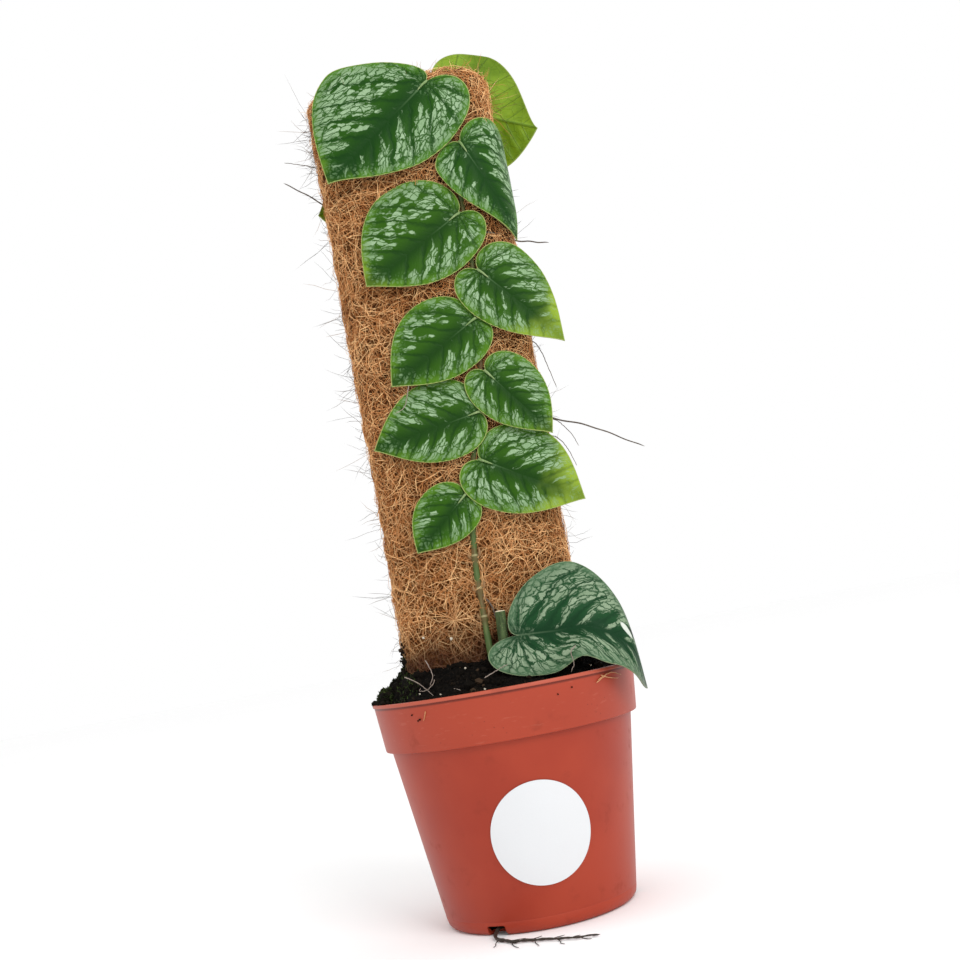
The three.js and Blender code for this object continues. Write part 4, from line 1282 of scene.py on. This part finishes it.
def bundle(name, rods, finish, slot, *nodes, angle=60):
    """Joins rods into one finished piece."""
    pick(rods[0])
    for other in rods:
        other.select_set(True)
    bpy.ops.object.join()
    piece = bpy.context.object
    piece.name = name
    smooth(piece, angle)
    keep(piece, finish, slot, *nodes)


def stalk(start, end, offset, count):
    """A stalk's path: halfway along, it stands out as far as its end, apart from an offset."""
    half = np.add(start, end) / 2
    half[1] = end[1] + offset
    return smooth_path([start, half, end], count)


def stem_finish(name, green, brown, pale, rings=()):
    """The skin of a stem: browner in places, with pale lengthwise streaks and rings."""
    skin = Finish(name, Roughness=0.55, Specular_IOR_Level=0.3)
    at = skin.place()
    height = skin.axis(at, "Z")
    streak = skin.noise(skin.place((1000, 1000, 140)), 1.1, 3)
    patches = skin.noise(at, 0.11, 3).step(0.42, 0.66)
    colour = skin.coats(green, (patches, brown), (streak.step(0.45, 0.8) * 0.6, pale))
    for node in rings:
        sheath = (height - node).step(-5, -0.5) * (height - node).step(1.2, 0.6)
        ring = abs(height - node - 1.2).step(0.6, 0.25)
        colour = skin.coats(colour, (sheath * 0.55, brown), (ring * 0.5, "#b3ab7e"))
    skin.set(Base_Color=colour, Normal=skin.bump(streak, 0.35, 0.35))
    return skin


green_stem = stem_finish("green_stem", "#465c2c", "#614a2b", "#767c4b", BARE_NODES_FRONT)
aerial_root = stem_finish("aerial_root", "#4b4238", "#5c5046", "#8b8072")
bud_scale = stem_finish("bud_scale", "#7a5a38", "#94704a", "#b99a6c")
young_stalk = stem_finish("young_stalk", "#6f8a52", "#7d9360", "#a3b184")
for side, face, (in_soil, climbing), leaves, nodes, roots in (
    ("front", -1, FRONT_STEM, FRONT_LEAVES, BARE_NODES_FRONT, FRONT_ROOTS),
    ("back", 1, BACK_STEM, BACK_LEAVES, BARE_NODES_BACK, BACK_ROOTS),
):
    route = list(in_soil)
    for x, height in climbing:
        share = abs(x - BOARD_CENTRE) / BOARD_HALF[0]
        deep = BOARD_HALF[1] * (1 - share ** BOARD_SQUARENESS) ** (1 / BOARD_SQUARENESS)
        route.append((x, face * (deep + 0.8), height))
    path = smooth_path(route, STEM_STEPS)
    heights = path[:, 2]
    leaf_nodes = [min(leaf["notch"][1] - NODE_BELOW_LEAF, heights[-1] - 1) for leaf in leaves]
    nodes = leaf_nodes + nodes
    radii = np.linspace(*STEM_RADII, STEM_STEPS)
    for node in nodes:
        off = heights - node
        radii = radii + 0.42 * np.exp(-(off / 1.5) ** 2) - 0.12 * np.exp(-((off + 3) / 3) ** 2)
        radii = radii + 0.16 * np.exp(-((off - 1.2) / 0.3) ** 2)
    rods = [rod(path, radii, tip=1.2, resolution=3)]
    for leaf in leaves:
        begin = np.searchsorted(heights, leaf["notch"][1] - NODE_BELOW_LEAF)
        start = path[min(begin, STEM_STEPS - 1)]
        seat = leaf_surface(face, leaf, np.array([0.0]), np.array([0.05 * leaf["length"]]))[0]
        line = stalk(start, seat - (0, face * 1.2, 0), face * 0.1, 14)
        rods.append(rod(line, STALK_RADII))
    bundle("climbing_stem_" + side, rods, green_stem, "stem", "vine_stem_" + side)

    rods = []
    for begin, reach in roots:
        line = smooth_path([path[np.searchsorted(heights, begin)], *reach], 60)
        line[:, 2] += 0.22 * np.sin(np.linspace(0, 34, 60)) * np.linspace(0, 1, 60)
        rods.append(rod(line, ROOT_RADII, tip=3, resolution=1))
    bundle("aerial_roots_" + side, rods, aerial_root, "root")

    rods = []
    for node in nodes[-SCALED_NODES:]:
        spot = path[np.searchsorted(heights, node)]
        for aside in (-1, 1):
            foot = spot + (aside * 1.35, face * 0.4, -0.6)
            tip = foot + (aside * 0.9, face * 0.5, 4.2 + aside)
            middle = (foot + tip) / 2 + (aside * 0.7, face * 0.7, 0)
            line = smooth_path([foot, middle, tip], 9)
            rods.append(rod(line, 0.62 * np.sin(np.linspace(0.5, 3.05, 9)), resolution=1))
    bundle("bud_scales_" + side, rods, bud_scale, "stem")

    rods = []
    for leaf in leaves:
        bent = leaf_surface(face, leaf, np.zeros(3), np.array([-2.2, 0.4, 5.0]))
        bent[:, 1] += face * np.array([-1.2, 0.5, 0.2])
        rods.append(rod(smooth_path(bent, 14), STALK_END_RADII, tip=0.8))
    bundle("stalk_ends_" + side, rods, young_stalk, "stem")


# Stray roots: thin living roots. Dark ones stand off the board's sides, and pale ones lie on
# the soil, a leaf and the base leaf. A few coir fibres stick to the pot's collar.

THREAD_RADII = (0.24, 0.13)
THREAD_STEPS = 32
DARK_THREADS = (
    [(37, -8, 253), (41.3, -12, 250.9), (43.7, -13, 245.7), (45.8, -13, 236.8), (47.8, -12, 227.9)],
    [(39, -10, 216), (44.7, -12, 213.3), (48.5, -12, 208.9), (51, -12, 204.7), (52.8, -12, 199.7)],
    [(38.5, -10, 208), (43.3, -12, 205.6), (47, -12, 200.7), (48.8, -12, 195.7),
     (50.2, -12, 190.8)],
    [(-40, -10, 350), (-44.5, -12, 351.3), (-51.7, -12, 354.1), (-58.9, -12, 356.4)],
)
PALE_THREADS = (
    [(-17.5, -25, 239.5), (-18.6, -27.8, 237), (-20.1, -28, 232.2), (-22.2, -28, 228),
     (-26.6, -27.6, 226.1)],
    [(-42.1, -24.5, 111.3), (-36, -33, 107.9), (-29.7, -42, 101.8)],
    [(-31.8, -24.5, 116.9), (-30.3, -26.5, 113.1), (-29.5, -29, 109.8), (-31, -35, 106)],
    [(-28.6, -27, 109.8), (-29.5, -33, 106.6), (-33, -40, 104.5), (-35.4, -42, 105),
     (-34.5, -42, 106)],
    [(-20.9, -42, 103.3), (-16.5, -42.5, 101.5), (-12.5, -43, 100)],
    [(-7.5, -47, 105.6), (-3, -47.5, 107.3), (0.7, -48, 108.8), (3.3, -48.2, 109.5)],
    [(32.5, -50, 112.4), (30, -50.3, 110.3), (30.2, -50.4, 106.6), (30.3, -50.3, 104.9),
     (28.5, -50, 101.9)],
)
COLLAR_THREADS = (
    [(39.3, -44.6, 96.4), (43.6, -40.9, 98.1), (46, -38.2, 98.3), (48, -35.6, 97.6),
     (50.7, -31.2, 96.1)],
    [(40.8, -43.8, 98.2), (43.8, -40.5, 96.7), (46.5, -37.3, 95.8), (49, -33.8, 95.2)],
    [(38.4, -45.4, 95.4), (40.6, -43.7, 96.6), (43.3, -41.2, 97.6)],
    [(-33.8, -48.8, 96.6), (-34.6, -48, 94.2), (-35.4, -47.3, 92.6)],
)
pale_root = stem_finish("pale_root", "#9a8b80", "#84756b", "#b9aca2")
rim_fibre = stem_finish("rim_fibre", "#c98f62", "#b87a4c", "#e3b78d")
for name, threads, finish, slot in (
    ("stray_roots_dark", DARK_THREADS, aerial_root, "root"),
    ("stray_roots_pale", PALE_THREADS, pale_root, "root"),
    ("stray_roots_coir", COLLAR_THREADS, rim_fibre, "coir"),
):
    rods = []
    for points in threads:
        line = smooth_path(points, THREAD_STEPS)
        line[1:-1] += rng.normal(0, 0.06, (THREAD_STEPS - 2, 3))
        rods.append(rod(line, THREAD_RADII, tip=1, resolution=1))
    bundle(name, rods, finish, slot)


# Base leaf: the large old leaf of the cut shoot. It arches out over the rim, folded along
# its midrib, with broad silver panels between blue-green veins, and two oval marks near its tip.

BASE_LEAF = dict(length=71, left=(0.293, 0.125, 0.194, 0.56), right=(0.436, 0.44, 0.1, 0.16, 0.08))
BASE_BLADE = 0.55
BASE_RELIEF = 0.6
BASE_MIDDLE = 0.36
BASE_MIDRIB = [(9.8, -34, 120.4), (23.8, -37, 119.6), (42, -40, 118), (56, -37, 107.5),
               (60.5, -31, 88.5)]
UPPER_SIDE = ((-0.1, 0.28, 0.95), (0, 0.3, 0.66))
LOWER_SIDE = ((-0.1, -0.55, -0.83), (-0.16, -0.45, -0.56))
FOLD_ROUNDING = 4
MARGIN_RISES = ((0.374, 4.9), (0.6, 1.4))
RISE_SPREAD = 0.11
RISE_WIDTH = 14
BASE_VEINS = dict(lean=0.8, curve=0.6, closing=0.4, spacing=0.15)
BASE_PATTERN = 60

midrib = smooth_path(BASE_MIDRIB, 400)
midrib_way = unit(np.gradient(midrib, axis=0))


def base_surface(u, v, raised):
    """Where points of the base leaf lie: two sides folded up and down from its midrib."""
    share = np.clip(v / BASE_LEAF["length"], 0, 1)
    at = share * (len(midrib) - 1)
    station = np.arange(len(midrib))
    rib, way = (
        np.stack([np.interp(at, station, line[:, axis]) for axis in range(3)], 1)
        for line in (midrib, midrib_way))
    rib = rib + way * (v - share * BASE_LEAF["length"])[:, None]
    to_tip = ease(0.45, 1, share)[:, None]
    upper, lower = (
        unit(np.array(start) + to_tip * np.subtract(end, start))
        for start, end in (UPPER_SIDE, LOWER_SIDE))
    reach = np.hypot(u, FOLD_ROUNDING) - FOLD_ROUNDING
    points = rib + 0.5 * (upper - lower) * u[:, None] + 0.5 * (upper + lower) * reach[:, None]
    for along, rise in MARGIN_RISES:
        swell = np.exp(-((share - along) / RISE_SPREAD) ** 2)
        points[:, 2] += rise * swell * ease(0, RISE_WIDTH, -u)
    points[:, 1] -= raised
    return points


base_leaf = blade("arching_base_leaf", BASE_LEAF, BASE_MIDDLE, base_surface, BASE_BLADE,
                  BASE_RELIEF, BASE_VEINS)
base_skin = leaf_finish(
    "base_leaf_skin", BASE_PATTERN, BASE_VEINS, lime=0.1, silver=1.7, dark="#12341c", mid="#1c4425",
    fresh="#486649", tip="#5b6d4f", pale="#99aa8f", mint="#738a6b", edge="#778766", zone=0.05,
    band=0.12, lopsided=0.3)
u, v, margin, which, along = vein_map(base_skin, **BASE_VEINS)
worn = base_skin.noise(base_skin.place(), 0.6, 4, 0.7)
dry = v.step(0.62, 0.9) * margin.step(4.5, 0.5) * worn.step(0.35, 0.6)


def oval_mark(u_place, v_place, v_scale, fade):
    """An oval mark on the base leaf."""
    across = (u - u_place) * 22
    lengthwise = (v - v_place) * v_scale
    return (across * across + lengthwise * lengthwise).step(0.6, fade)


alive = Value(base_skin, base_skin.shader.inputs["Base Color"].links[0].from_socket)
base_skin.set(Base_Color=base_skin.coats(
    alive,
    (dry * 0.7, base_skin.mix(worn, "#575c55", "#9a9c93")),
    (oval_mark(0.115, 0.72, 13, 0.35), "#cdd2c8"),
    (oval_mark(0.165, 0.81, 14, 0.2), "#1c211d"),
))
keep(base_leaf, base_skin, "base_leaf", "base_leaf")


# Old shoot: the stump of an older stem, cut straight across, with the thick stalk of the
# base leaf growing from it.

STUMP = [(3, -30, 94), (3.2, -29.2, 115), (4.1, -28.3, 132.2)]
STUMP_RADII = (2.5, 2.2)
STUMP_STEPS = 60
CUT_HEIGHT = 131.85
BASE_STALK_START = (3.8, -29, 117)
BASE_STALK_RADII = (1.95, 1.4)

old_bark = Finish("old_bark", Roughness=0.6, Specular_IOR_Level=0.25)
at = old_bark.place()
streak = old_bark.noise(old_bark.place((1000, 1000, 160)), 0.9, 3)
warts = old_bark.cells(at, 1.1).step(0.24, 0.14)
wood_cut = old_bark.axis(at, "Z").step(CUT_HEIGHT, CUT_HEIGHT + 0.15)
old_bark.set(
    Base_Color=old_bark.coats(
        "#2b3c1c",
        (streak.step(0.35, 0.7), "#4a5c33"),
        (warts * 0.5, "#8a8f62"),
        (wood_cut, "#d9cdb0"),
    ),
    Normal=old_bark.bump(streak * 0.4 + warts * 0.6, 0.6, 0.4),
)

radii = np.linspace(*STUMP_RADII, STUMP_STEPS)
radii = radii * (1 + 0.05 * np.sin(np.linspace(0, 9, STUMP_STEPS)))
radii[-2:] *= (0.99, 0.93)
stump = rod(smooth_path(STUMP, STUMP_STEPS), radii, resolution=6)
seat = base_surface(np.array([0.0]), np.array([0.07 * BASE_LEAF["length"]]), 0)[0]
line = stalk(BASE_STALK_START, seat + (0, 2.2, 0), 0.6, 20)
base_stalk = rod(line, BASE_STALK_RADII, tip=0.8, resolution=4)
bundle("old_cut_shoot", [stump, base_stalk], old_bark, "stem", "old_shoot", angle=50)


# Drain root: a root of the plant that has grown out through a foot notch and lies on the
# surface in front of the pot, with short rootlets on both sides.

DRAIN_ROOT = [(-18, -33, 3.6), (-20.5, -38, 2.4), (-21, -44, 1.2), (-15, -52, 0.9), (-4, -57, 0.9),
              (8, -63, 0.9), (20, -66, 0.9)]
DRAIN_ROOT_RADII = (0.8, 0.36)
DRAIN_STEPS = 120
ROOTLETS = (
    # how far along the root, how far aside, length
    (0.24, -1.3, 9), (0.31, 1.4, 8), (0.38, -0.8, 12), (0.47, 1.2, 9), (0.55, -1.5, 7),
    (0.62, 0.9, 11), (0.7, -1.1, 9), (0.78, 1.3, 6), (0.87, -0.7, 7), (0.94, 0.8, 5),
)
ROOTLET_RADII = (0.22, 0.12)
ROOTLET_HEIGHT = 0.32

path = smooth_path(DRAIN_ROOT, DRAIN_STEPS)
run = np.linspace(0, 1, DRAIN_STEPS)
path[:, 0] += 0.35 * np.sin(29 * run) * ease(0.1, 0.3, run)
path[:, 1] += 0.45 * np.sin(41 * run + 1) * ease(0.1, 0.3, run)
knobs = 1 + 0.12 * np.sin(97 * run) + 0.1 * np.sin(53 * run)
rods = [rod(path, np.linspace(*DRAIN_ROOT_RADII, DRAIN_STEPS) * knobs, tip=2)]
for start, across, length in ROOTLETS:
    begin = int(start * (DRAIN_STEPS - 1))
    way = unit(path[begin + 1] - path[begin])
    aside = np.array([-way[1], way[0], 0]) * np.sign(across)
    points = [path[begin]]
    for share in (0.3, 0.65, 1):
        point = path[begin] + length * share * (way * 0.7 + aside * abs(across) * 0.6)
        point[2] = ROOTLET_HEIGHT
        point[:2] += rng.normal(0, 0.35, 2)
        points.append(point)
    rods.append(rod(smooth_path(points, 18), ROOTLET_RADII, tip=1, resolution=1))
dark_root = stem_finish("dark_root", "#2a211b", "#3b3029", "#5d5147")
bundle("drain_root_visible", rods, dark_root, "root", "drain_root")

lowest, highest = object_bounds()
sizes = {"cad": [list(corner) for corner in cad_box], "visual": [list(lowest), list(highest)]}
